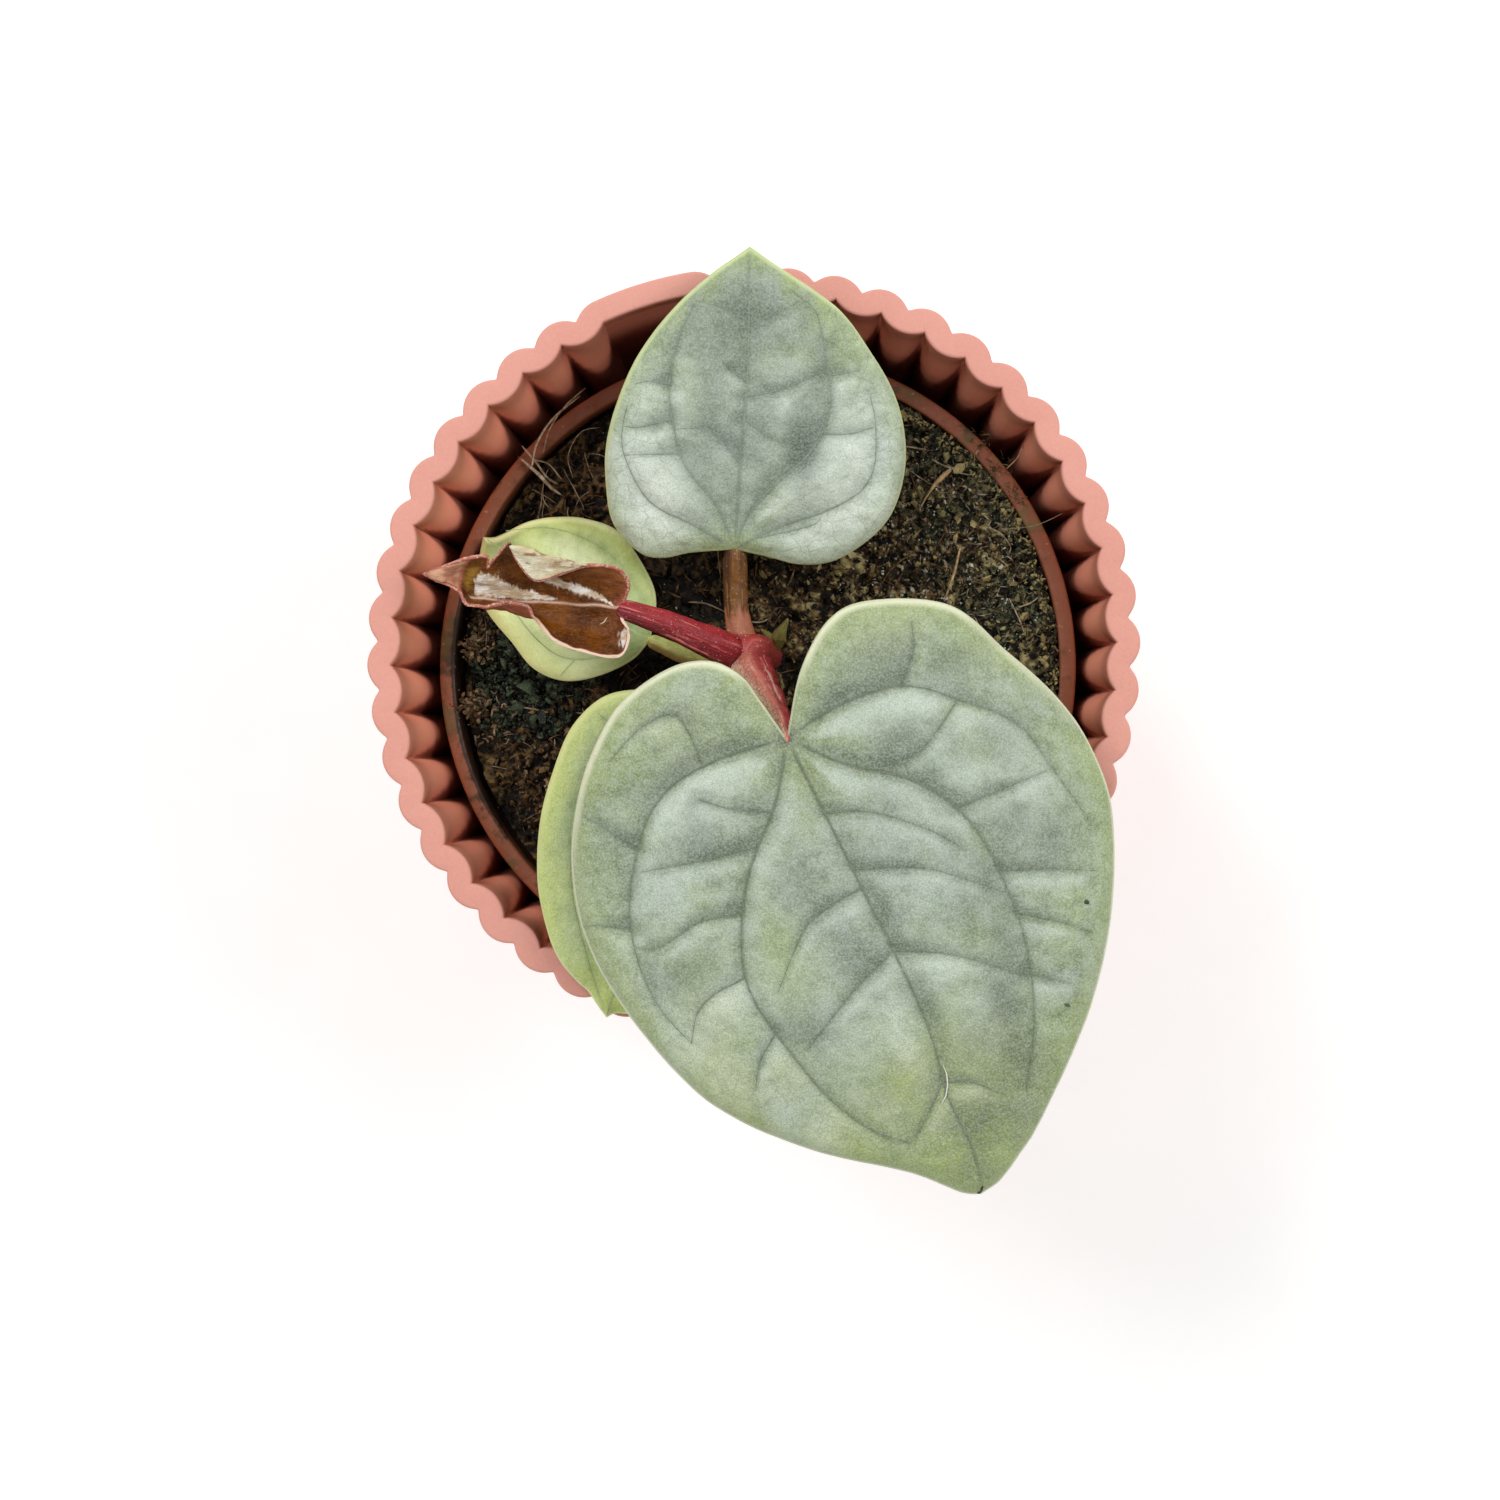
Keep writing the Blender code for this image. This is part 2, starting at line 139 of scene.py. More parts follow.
def smooth_line(points, count):
    """count + 1 points, evenly spaced along the smooth curve through the given ones."""
    dense = curve(points, 24)
    walked = walk(dense)
    even = np.linspace(0, walked[-1], count + 1)
    return np.stack([np.interp(even, walked, dense[:, k]) for k in range(dense.shape[1])], 1)


def bump_of(distance, width):
    """1 on a line, falling smoothly to 0 away from it."""
    return np.exp(-((distance / width) ** 2))


def smooth_step(value, low, high):
    t = np.clip((value - low) / (high - low), 0, 1)
    return t * t * (3 - 2 * t)


def rounded(distance, radius):
    """Height of a round edge, 0 to 1, at a distance from its outermost point."""
    return np.sqrt(np.clip(1 - (1 - np.clip(distance / radius, 0, 1)) ** 2, 0, 1))


def rough(points, size, octaves=3, seed=0.0):
    """Fractal noise at each point, about -1 to 1, with bumps of that size."""
    shift = Vector((seed, seed, seed))
    return np.array([noise.fractal(Vector(p) / size + shift, 0.9, 2.1, octaves) for p in points])


# ---------------------------------------------------------------- materials


class Finish:
    """A procedural material on one Principled shader: a colour painted over step by step, and bumps."""

    def __init__(self, name, colour, roughness=0.6, specular=0.5, sheen=0.0):
        self.material = bpy.data.materials.new(name)
        self.material.use_nodes = True
        self.tree = self.material.node_tree
        self.shader = self.tree.nodes["Principled BSDF"]
        starts = {"Roughness": roughness, "Specular IOR Level": specular, "Sheen Weight": sheen}
        for socket, value in starts.items():
            self.shader.inputs[socket].default_value = value
        self.where = self.tree.nodes.new("ShaderNodeTexCoord").outputs["Object"]
        self.colour = colour
        self.normal = None

    def put(self, socket, value):
        """Sets a socket. A text is the name of a point attribute, a tuple is a colour, a list a vector."""
        if isinstance(value, str):
            value = self.node("Attribute", attribute_name=value).outputs["Fac"]
        if isinstance(value, bpy.types.NodeSocket):
            self.tree.links.new(value, socket)
        else:
            socket.default_value = (*linear(value), 1.0) if isinstance(value, tuple) else value

    def node(self, kind, inputs=None, **settings):
        node = self.tree.nodes.new("ShaderNode" + kind)
        for key, value in settings.items():
            setattr(node, key, value)
        for key, value in (inputs or {}).items():
            if value is not None:
                self.put(node.inputs[key], value)
        return node

    def stretched(self, x, y, z):
        """Object coordinates squeezed by these factors, for streaks."""
        return self.node("Mapping", {"Vector": self.where, "Scale": [x, y, z]}).outputs["Vector"]

    def noise(self, size, detail=3.0, roughness=0.55, distortion=0.0, where=None):
        return self.node("TexNoise", {"Vector": where or self.where, "Scale": 1 / size, "Detail": detail,
                                      "Roughness": roughness, "Distortion": distortion}).outputs["Fac"]

    def wavy(self, size, reach):
        """Object coordinates bent by a soft noise."""
        bend = self.node("TexNoise", {"Vector": self.where, "Scale": 1 / size}).outputs["Color"]
        inputs = {0: bend, 1: [reach, reach, reach], 2: self.where}
        return self.node("VectorMath", inputs, operation="MULTIPLY_ADD").outputs[0]

    def cells(self, size, feature="F1", where=None):
        inputs = {"Vector": where or self.where, "Scale": 1 / size}
        return self.node("TexVoronoi", inputs, feature=feature).outputs["Distance"]

    def part_of(self, vector, axis):
        return self.node("SeparateXYZ", {0: vector}).outputs[axis]

    def along_stalk(self, around, along):
        """How far across a stalk, 0 to 1 from one side over the top to the other, and streaks along it."""
        uv = self.node("UVMap", uv_map="UVMap").outputs["UV"]
        u, v = self.part_of(uv, 0), self.part_of(uv, 1)
        across = self.math("MULTIPLY_ADD", self.math("COSINE", self.times(u, math.tau)), -0.5, 0.5)
        drawn = self.node("CombineXYZ", {0: self.times(across, around), 1: self.times(v, along)})
        return across, v, drawn.outputs[0]

    def math(self, operation, a, b=0.0, c=0.0):
        return self.node("Math", {0: a, 1: b, 2: c}, operation=operation).outputs[0]

    def times(self, a, b):
        return self.math("MULTIPLY", a, b)

    def range(self, value, low, high, start=0.0, end=1.0):
        """value between low and high, smoothly turned into start to end."""
        inputs = {"Value": value, "From Min": low, "From Max": high, "To Min": start, "To Max": end}
        return self.node("MapRange", inputs, interpolation_type="SMOOTHSTEP").outputs["Result"]

    def blend(self, share, first, second):
        return self.node("Mix", {0: share, 6: first, 7: second}, data_type="RGBA").outputs[2]

    def paint(self, colour, share, low=None, high=None, most=1.0):
        """Paints over the colour so far. With low and high, the share grows from 0 to most between them."""
        if low is not None:
            share = self.range(share, low, high, 0.0, most)
        self.colour = self.blend(share, self.colour, colour)

    def glow(self, red, green, blue, strength):
        """A faint light of its own, in linear values."""
        self.shader.inputs["Emission Color"].default_value = (red, green, blue, 1.0)
        self.put(self.shader.inputs["Emission Strength"], strength)

    def bump(self, height, distance, strength):
        """Adds bumps on top of those before."""
        inputs = {"Height": height, "Distance": distance, "Strength": strength, "Normal": self.normal}
        self.normal = self.node("Bump", inputs).outputs["Normal"]

    def done(self, roughness=None):
        for name, value in (("Base Color", self.colour), ("Roughness", roughness), ("Normal", self.normal)):
            if value is not None:
                self.put(self.shader.inputs[name], value)
        return self.material


def leaf_finish(name, green, silver, cool, fresh, edge, vein, bright, grainy, lined, edge_width, netted):
    """The upper face of a leaf: silver over green, dark fine veins, a pale edge, painted glitter, light and
    shade.
    """
    f = Finish(name, green, roughness=0.5, specular=0.45, sheen=0.10)
    broad = f.noise(0.0060, 3.0, 0.55, 0.5)
    drift = f.noise(0.0075, 2.0, 0.5, 0.3, f.stretched(1.0, 1.0, 2.3))
    cloud = f.noise(0.0014, 4.0, 0.62)
    grain = f.noise(0.00019, 2.0, 0.7)
    glitter = f.noise(0.00011, 1.0, 0.5)
    f.paint(silver, f.times("silver", f.range(broad, 0.25, 0.65, 0.45, 1.0)))
    f.paint(cool, drift, 0.50, 0.66, 0.60)
    f.paint(fresh, drift, 0.46, 0.32, 0.35)
    f.paint(bright, cloud, 0.38, 0.66, 0.28)
    f.paint(vein, cloud, 0.50, 0.30, 0.32)
    f.paint(fresh, f.times("yellow", f.range(cloud, 0.3, 0.6, 0.6, 1.0)))
    f.paint(fresh, "margin", 0.0024, 0.0005, 600 * edge_width)
    lightest = f.blend("yellow", bright, f.blend(0.35, edge, fresh))
    # Painted light and shade: slopes that face the light are lightened, slopes turned away are darkened
    f.paint(lightest, "painted_slope_light", 0.03, 0.9, 0.56)
    f.paint(vein, "painted_slope_light", -0.03, -0.9, 0.70)
    # Painted highlights in the listed bright patches
    f.paint(lightest, f.times("bright", f.range(cloud, 0.25, 0.6, 0.7, 1.0)))
    # A painted glow lifts the leaf where it lies in shade
    f.glow(0.72, 0.82, 0.34, f.times("painted_glow", 0.16))
    net = f.range(f.cells(0.0019, "DISTANCE_TO_EDGE", f.wavy(0.0012, 0.0007)), 0.055, 0.0, 0.0, netted)
    f.paint(vein, f.times(net, f.range("margin", 0.0070, 0.0025, 0.35, 1.0)))
    # Painted shade in the dark patches
    f.paint(f.blend("yellow", vein, (72, 92, 34)), f.times("dark", 1.75))
    # Painted shade in the valleys along the veins
    f.paint(vein, f.times("valley", 0.36))
    # Painted glints: pale specks in the fine grain
    f.paint((238, 242, 234), grain, 0.32, 0.72, 0.26 * grainy)
    f.paint((84, 98, 76), glitter, 0.60, 0.36, 0.26 * grainy)
    f.paint(vein, f.times("vein", lined))
    # Painted highlight along the edge that faces the light
    f.paint(edge, f.times(f.range("margin", 1.25 * edge_width, 0.25 * edge_width), "rim"))
    f.paint(edge, "margin", 0.00026, 0.00010, 0.55)
    f.bump(cloud, 0.00030, 0.6)
    f.bump(grain, 0.00006, 0.6 * grainy)
    return f.done(f.range(grain, 0.3, 0.7, 0.42, 0.6))


def under_finish():
    """The under face of a leaf: paler, matt, with a faint net of veins."""
    pale, deep = (176, 190, 146), (140, 158, 108)
    f = Finish("leaf underside", pale, roughness=0.6, specular=0.35)
    grain = f.noise(0.0002, 2.0, 0.6)
    f.paint(deep, f.noise(0.004), 0.35, 0.7)
    f.paint(deep, f.cells(0.0019, "DISTANCE_TO_EDGE"), 0.07, 0.0, 0.35)
    f.paint((240, 240, 225), grain, 0.3, 0.8, 0.15)
    f.bump(grain, 0.00008, 0.6)
    return f.done()


def young_finish():
    """The young leaf's inside: glossy brown, silver hairs in two bands above the midrib, a pink edge."""
    f = Finish("young leaf inside", (82, 38, 3), roughness=0.42, specular=0.25)
    streak = f.noise(0.0007, 4.0, 0.65, where=f.stretched(0.35, 1.0, 1.0))
    fine = f.noise(0.00022, 3.0, 0.6)
    hair = f.noise(0.00030, 3.0, 0.6, where=f.stretched(1.0, 0.3, 0.4))
    f.paint((120, 66, 10), f.noise(0.0022), 0.35, 0.65)
    f.paint((58, 28, 6), streak, 0.45, 0.70, 0.60)
    f.paint((160, 100, 36), fine, 0.45, 0.70, 0.30)
    f.paint((156, 94, 52), f.times("lobe", 0.75))
    f.paint((186, 84, 80), "blush")
    f.paint((164, 122, 46), f.times("olive", f.range(fine, 0.2, 0.6, 0.5, 0.9)))
    silky = f.math("MULTIPLY_ADD", f.math("SUBTRACT", hair, 0.5), 1.3, "flush")
    f.paint(f.blend(f.range(streak, 0.38, 0.6), (246, 240, 230), (196, 168, 134)), silky, 0.20, 0.66, 0.97)
    f.paint(f.blend(f.range(streak, 0.4, 0.6), (208, 158, 126), (184, 124, 98)), "pale")
    f.paint((196, 118, 96), f.times("fold", 0.8))
    f.paint((230, 190, 166), f.times("vein", 0.95))
    f.bump(streak, 0.0003, 0.8)
    return young_rim(f, fine, f.range(streak, 0.3, 0.7, 0.32, 0.52))


def young_under_finish():
    """The young leaf's underside: cream with brown hairs lying slantwise; red-brown where it faces down."""
    f = Finish("young leaf underside", (232, 226, 196), roughness=0.45, specular=0.4)
    streak = f.noise(0.0007, 4.0, 0.65, where=f.stretched(0.4, 1.2, 1.0))
    fine = f.noise(0.00022, 3.0, 0.6)
    f.paint((208, 188, 150), f.noise(0.0024, 2.0), 0.35, 0.65)
    f.paint((134, 90, 54), streak, 0.50, 0.66, 0.85)
    f.paint((250, 244, 228), streak, 0.44, 0.30, 0.8)
    f.paint((146, 78, 48), f.part_of(f.where, 1), 0.0050, 0.0040)
    f.bump(streak, 0.0003, 0.7)
    return young_rim(f, fine, f.range(fine, 0.3, 0.7, 0.4, 0.55))


def young_rim(f, fine, roughness):
    """The rim on either face: pink, paler and drier on the near side, with a brown line in it."""
    rim = f.blend("near", (190, 112, 94), (236, 204, 182))
    rim = f.blend(f.range(fine, 0.50, 0.64, 0.0, 0.75), rim, (240, 206, 186))
    from_line = f.math("ABSOLUTE", f.math("SUBTRACT", "margin", 0.00026))
    line = f.times(f.range(from_line, 0.00007, 0.00002), f.range(f.noise(0.0016), 0.36, 0.50))
    f.paint(rim, f.math("MULTIPLY_ADD", "near", 0.00012, "margin"), 0.00040, 0.00026)
    f.paint((132, 72, 52), f.times(line, 0.8))
    f.bump(fine, 0.0001, 0.6)
    return f.done(roughness)


def stalk_finish(name, first, middle, last, groove, streak, flecks, fleck_amount, drawn_on=0.8, channel=0.0,
                 cracked=0.0, foot=None):
    """A fleshy stalk: its colour changes across it, with streaks, a groove and small pale scales."""
    f = Finish(name, first, roughness=0.40, specular=0.5)
    across, along, drawn = f.along_stalk(6.0, 1.5)
    lines = f.noise(1.0, 4.0, 0.65, where=drawn)
    fine = f.noise(0.00016, 2.0, 0.6)
    f.paint(middle, across, 0.16, 0.54)
    f.paint(last, across, 0.52, 0.86)
    from_middle = f.math("ABSOLUTE", f.math("SUBTRACT", across, 0.5))
    f.paint(groove, from_middle, 0.16, 0.03, channel)
    f.paint(streak, from_middle, 0.30, 0.20, 0.4 * channel)
    f.paint(groove, from_middle, 0.16, 0.03, channel)
    f.paint(groove, lines, 0.45, 0.34, drawn_on)
    f.paint(streak, lines, 0.54, 0.62, drawn_on)
    f.paint(groove, f.noise(0.0009, 3.0, 0.6), 0.35, 0.7, 0.35)
    if foot:
        peeling = f.math("MULTIPLY_ADD", f.math("SUBTRACT", lines, 0.5), 0.7, along)
        f.paint(foot, peeling, 0.40, 0.30, 0.85)
    if cracked:
        cracks = f.range(f.cells(0.0006, "DISTANCE_TO_EDGE", f.wavy(0.0007, 0.0006)), 0.09, 0.0, 0.0, cracked)
        f.paint(groove, f.times(cracks, f.range(across, 0.62, 0.40)))
    f.paint(flecks, f.times(f.range(f.noise(0.00022, 2.0, 0.6), 0.66, 0.72), fleck_amount))
    f.bump(lines, 0.00025, 0.8 * drawn_on)
    f.bump(fine, 0.00008, 0.7)
    return f.done(f.range(fine, 0.3, 0.7, 0.32, 0.52))


def cover_finish():
    """Matt salmon plastic with a fine grain and a few faint scuffs; painted shade and a painted warm bounce
    light inside.
    """
    f = Finish("salmon plastic", (220, 150, 134), roughness=0.62, specular=0.4)
    fine = f.noise(0.00018, 2.0, 0.6)
    broad = f.noise(0.011, 3.0, 0.5)
    f.paint((226, 158, 143), broad, 0.3, 0.7)
    f.paint((240, 186, 170), fine, 0.25, 0.75, 0.20)
    # Painted light: a warm bright colour on the shaded inner wall, standing in for light bounced inside the
    # pot
    f.paint((255, 168, 136), f.times("shaded", 0.85))
    # Painted shade in the hollows and on the lobes' far sides
    f.paint((124, 44, 28), "deep")
    f.paint((204, 122, 108), f.noise(0.0007, 2.0, 0.6), 0.70, 0.80, 0.35)
    # Painted light: the lit part of each inner lobe and the plain panel glow faintly
    f.glow(1.0, 0.34, 0.21, f.times("glow", 0.11))
    f.bump(fine, 0.00005, 0.6)
    f.bump(f.noise(0.0012), 0.00006, 0.5)
    return f.done(f.range(broad, 0.3, 0.7, 0.56, 0.70))


def nursery_finish():
    """Brown plastic, satin, dusty on the lip, with dried soil and algae in places, and nearly black inside.
    """
    f = Finish("brown plastic", (158, 96, 66), roughness=0.42, specular=0.45)
    dirt = f.noise(0.0016, 5.0, 0.7)
    film = f.noise(0.006, 3.0, 0.6)
    # Painted light: lighter on the left, where the light falls, darker on the right
    f.paint((148, 86, 60), f.part_of(f.where, 0), -0.022, 0.022)
    f.paint((140, 76, 50), film, 0.42, 0.62, 0.5)
    f.paint((104, 66, 42), dirt, 0.56, 0.70, 0.45)
    stain = f.blend(f.range(film, 0.4, 0.6), (70, 52, 30), (116, 94, 54))
    f.paint(stain, f.math("MULTIPLY_ADD", "grime", 0.42, dirt), 0.60, 0.86)
    f.paint((40, 27, 17), f.math("MULTIPLY_ADD", dirt, 0.5, "banked"), 1.00, 1.14, 0.9)
    f.paint((34, 22, 15), f.times("inside", 0.92))
    f.paint((196, 150, 124), f.noise(0.0005, 2.0), 0.70, 0.76, 0.6)
    f.bump(dirt, 0.00025, 0.5)
    return f.done(f.range(dirt, 0.4, 0.65, 0.36, 0.7))


def soil_finish(name, lift):
    """Damp peat: brown crumbs, black where the tint is low, tan where it is high, and a green-black film of
    algae on one side.
    """
    f = Finish(name, (14, 10, 6), roughness=0.85, specular=0.35)
    crumb = f.noise(0.0008, 4.0, 0.64)
    fine = f.noise(0.00022, 3.0, 0.7)
    broad = f.noise(0.006, 3.0, 0.6)
    x, y = f.part_of(f.where, 0), f.part_of(f.where, 1)
    right = f.range(x, -0.008, 0.004)
    granule = f.times(f.range(f.cells(0.00062, where=f.wavy(0.0005, 0.0004)), 0.46, 0.16), right)
    f.paint((112, 84, 48), crumb, 0.44, 0.60)
    f.paint((196, 178, 122), f.times(granule, f.range(crumb, 0.44, 0.58, 0.0, 0.9)))
    # On the soil bed the tint follows the height: painted shade in the hollows, painted light on the crests.
    # On the crumbs the tint is random
    f.paint((12, 9, 6), "tint", 0.40, 0.10, 0.85)
    algae = f.times(f.range(f.math("MULTIPLY_ADD", y, 0.45, x), 0.015, 0.028), f.range(broad, 0.30, 0.50))
    f.paint(f.blend(f.range(crumb, 0.44, 0.64), (10, 14, 9), (112, 116, 86)), f.times(algae, 0.88))
    f.paint(f.blend(right, (148, 120, 76), (196, 180, 124)), "tint", 0.52, 0.92, 0.9)
    f.paint((186, 170, 138), fine, 0.64, 0.74, 0.45 + lift)
    # Painted shade: a dark patch left of the stem
    aside, beyond = f.math("ADD", x, 0.0098), f.math("SUBTRACT", y, 0.0030)
    away = f.math("MULTIPLY_ADD", aside, aside, f.times(beyond, beyond))
    f.paint((12, 13, 13), away, 0.000080, 0.000016, 0.84)
    f.bump(crumb, 0.0006, 0.9)
    f.bump(fine, 0.0002, 0.8)
    return f.done(f.range(crumb, 0.3, 0.7, 0.6, 0.95))


def fibre_finish(name, pale, dark):
    f = Finish(name, dark, roughness=0.65, specular=0.35)
    streak = f.noise(0.0006, 3.0, 0.6)
    f.paint(pale, streak, 0.3, 0.7)
    f.paint(dark, "tint", 0.5, 0.0, 0.7)
    f.bump(streak, 0.0001, 0.6)
    return f.done()


def moss_finish():
    f = Finish("moss", (9, 13, 9), roughness=0.7, specular=0.4)
    fine = f.noise(0.00020, 3.0, 0.6)
    f.paint((72, 86, 62), "tint", 0.1, 0.85)
    # Painted glints: pale specks in the fine grain
    f.paint((140, 150, 124), fine, 0.54, 0.72, 0.6)
    f.bump(fine, 0.0002, 0.8)
    return f.done()


def grit_finish():
    f = Finish("bright grit", (112, 112, 88), roughness=0.25, specular=0.7)
    f.paint((216, 216, 200), "tint", 0.35, 0.95)
    return f.done()


def floor_finish():
    f = Finish("pale floor", (246, 246, 245), roughness=0.8, specular=0.2)
    f.paint((249, 249, 248), f.noise(0.02), 0.3, 0.7)
    f.glow(1.0, 1.0, 1.0, 0.26)
    return f.done()


# ---------------------------------------------------------------- making pieces


def select(*pieces):
    """Selects just these pieces. The first becomes the active one."""
    bpy.ops.object.select_all(action="DESELECT")
    for piece in pieces:
        piece.select_set(True)
    if pieces:
        bpy.context.view_layer.objects.active = pieces[0]


def finished(piece, name, node=None, smooth=40):
    """Names a piece, shades it, lets it ride on the pot, and hides the part it stands for."""
    piece.name = name
    piece.data.name = name
    select(piece)
    bpy.ops.object.transform_apply(location=True, rotation=True, scale=True)
    bpy.ops.object.shade_smooth_by_angle(angle=math.radians(smooth))
    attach(piece, "root")
    if node:
        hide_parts(node)
    return piece


def points_of(piece):
    flat = np.empty(len(piece.data.vertices) * 3)
    piece.data.vertices.foreach_get("co", flat)
    return flat.reshape(-1, 3)


def move_points(piece, points):
    piece.data.vertices.foreach_set("co", points.ravel())


def store(piece, **values):
    """One number for each point under each name, which a material reads."""
    for name, numbers in values.items():
        layer = piece.data.attributes.new(name, "FLOAT", "POINT")
        layer.data.foreach_set("value", np.asarray(numbers, np.float32).ravel())


def mesh_piece(name, points, faces, finish):
    """A piece made from lists of points and faces."""
    data = bpy.data.meshes.new(name)
    data.from_pydata(points, [], faces)
    data.materials.append(finish)
    piece = bpy.data.objects.new(name, data)
    bpy.context.scene.collection.objects.link(piece)
    return piece


def grid_piece(across, along, shape, finish):
    """A grid whose points go where shape(u, v) puts them; u and v run from 0 to 1."""
    select()
    bpy.ops.mesh.primitive_grid_add(x_subdivisions=across, y_subdivisions=along, size=1)
    piece = bpy.context.object
    flat = points_of(piece)
    move_points(piece, shape(flat[:, 0] + 0.5, flat[:, 1] + 0.5))
    piece.data.materials.append(finish)
    return piece


def join_and_merge(pieces, distance=0.000001, recalculate=True):
    """Joins pieces into the first, and merges the points that coincide."""
    select(*pieces)
    if len(pieces) > 1:
        bpy.ops.object.join()
    bpy.ops.object.mode_set(mode="EDIT")
    bpy.ops.mesh.select_all(action="SELECT")
    bpy.ops.mesh.remove_doubles(threshold=distance)
    if recalculate:
        bpy.ops.mesh.normals_make_consistent(inside=False)
    bpy.ops.object.mode_set(mode="OBJECT")
    return pieces[0]


def tube_piece(points, radii, finish, around, along, ridges=0, depth=0.0, flat_top=0.0, lumps=0.0):
    """A closed round stalk along a smooth line, with round ends, ridges along it, and lumps."""
    line = smooth_line(points, along)
    ahead = np.gradient(line, axis=0)
    ahead /= np.linalg.norm(ahead, axis=1)[:, None]
    side = np.cross(ahead, (0.0, 0.0, 1.0)) + (1e-6, 0.0, 0.0)
    side /= np.linalg.norm(side, axis=1)[:, None]
    top = np.cross(side, ahead)
    radius = np.interp(np.linspace(0, 1, along + 1), np.linspace(0, 1, len(radii)), radii)
    walked = walk(line)
    for end in (walked, walked[-1] - walked):
        radius *= rounded(end, radius + 1e-9)

    def shape(u, v):
        k = np.rint(v * along).astype(int)
        turn = math.tau * u
        r = radius[k] * (1 + depth * np.cos(ridges * turn))
        lumpy = np.column_stack([line[k][:, 1] * 1000, np.cos(turn) + v * 3, np.sin(turn)])
        r *= 1 + lumps * rough(lumpy * 0.001, 0.0007, 2, 6.0)
        lift = np.sin(turn)
        lift = np.where(lift > 0, lift * (1 - flat_top), lift)
        return line[k] + side[k] * (r * np.cos(turn))[:, None] + top[k] * (r * lift)[:, None]

    return join_and_merge([grid_piece(around, along, shape, finish)])


def many_tubes(name, paths, finish, sides=3):
    """Many thin fibres in one piece. A path is (points, radius, tint)."""
    verts, faces, tints = [], [], []
    for points, radius, tint in paths:
        first = len(verts)
        points = np.array(points)
        ahead = np.gradient(points, axis=0)
        ahead /= np.linalg.norm(ahead, axis=1)[:, None] + 1e-12
        side = np.cross(ahead, (0.2, 0.1, 0.97))
        side /= np.linalg.norm(side, axis=1)[:, None] + 1e-12
        top = np.cross(side, ahead)
        last = len(points) - 1
        for k, point in enumerate(points):
            r = radius * (0.35 if k in (0, last) else 1.0)
            for s in range(sides):
                turn = math.tau * s / sides
                verts.append(point + r * (side[k] * math.cos(turn) + top[k] * math.sin(turn)))
                tints.append(tint)
        for k in range(last):
            for s in range(sides):
                a, b = first + k * sides + s, first + k * sides + (s + 1) % sides
                faces.append((a, b, b + sides, a + sides))
        faces.append(tuple(first + s for s in reversed(range(sides))))
        faces.append(tuple(first + last * sides + s for s in range(sides)))
    piece = mesh_piece(name, np.array(verts).tolist(), faces, finish)
    store(piece, tint=tints)
    return finished(piece, name)


def rotation(a, b, c):
    """A turn by three angles, as a matrix."""
    ca, sa, cb, sb, cc, sc = math.cos(a), math.sin(a), math.cos(b), math.sin(b), math.cos(c), math.sin(c)
    about_z = np.array([[ca, -sa, 0], [sa, ca, 0], [0, 0, 1]])
    about_y = np.array([[cb, 0, sb], [0, 1, 0], [-sb, 0, cb]])
    about_x = np.array([[1, 0, 0], [0, cc, -sc], [0, sc, cc]])
    return about_z @ about_y @ about_x


def many_grains(name, places, finish, seed, smooth, node=None, subdivisions=1):
    """Many copies of a few lumpy grains in one piece. A place is (x, y, z, size, tint)."""
    draw = random.Random(seed)
    lumps = []
    for _ in range(5):
        select()
        bpy.ops.mesh.primitive_ico_sphere_add(subdivisions=subdivisions, radius=1.0)
        ball = bpy.context.object
        points = np.array([v.co for v in ball.data.vertices])
        points *= np.array([[0.55 + 0.9 * draw.random()] for _ in points])
        lumps.append((points, np.array([list(p.vertices) for p in ball.data.polygons])))
        bpy.data.objects.remove(ball, do_unlink=True)
    verts, faces, tints = [], [], []
    for x, y, z, size, tint in places:
        points, corners = lumps[draw.randrange(len(lumps))]
        turn = rotation(*(draw.uniform(0, math.tau) for _ in range(3)))
        squash = np.array([1.2, draw.uniform(0.5, 1.0), draw.uniform(0.4, 0.8)])
        verts.append((points * squash) @ turn.T * size + (x, y, z))
        faces.append(corners + len(tints))
        tints += [tint] * len(points)
    piece = mesh_piece(name, np.vstack(verts).tolist(), np.vstack(faces).tolist(), finish)
    store(piece, tint=tints)
    return finished(piece, name, node, smooth)


# ---------------------------------------------------------------- pots


def cup(steps, radius, height, wall, floor_thickness, turn=0.0):
    """A straight cup: a cylinder whose top is inset and pushed down."""
    select()
    bpy.ops.mesh.primitive_cylinder_add(
        vertices=steps, radius=radius, depth=height, location=(0, 0, height / 2), rotation=(0, 0, turn)
    )
    bpy.ops.object.transform_apply(location=True, rotation=True, scale=True)
    bpy.ops.object.mode_set(mode="EDIT")
    bpy.ops.mesh.select_all(action="DESELECT")
    piece = bpy.context.object
    mesh = bmesh.from_edit_mesh(piece.data)
    for face in mesh.faces:
        face.select = face.normal.z > 0.9
    bmesh.update_edit_mesh(piece.data)
    bpy.ops.mesh.inset(thickness=wall)
    bpy.ops.mesh.extrude_region_move(TRANSFORM_OT_translate={"value": (0, 0, floor_thickness - height)})
    bpy.ops.object.mode_set(mode="OBJECT")
    return piece


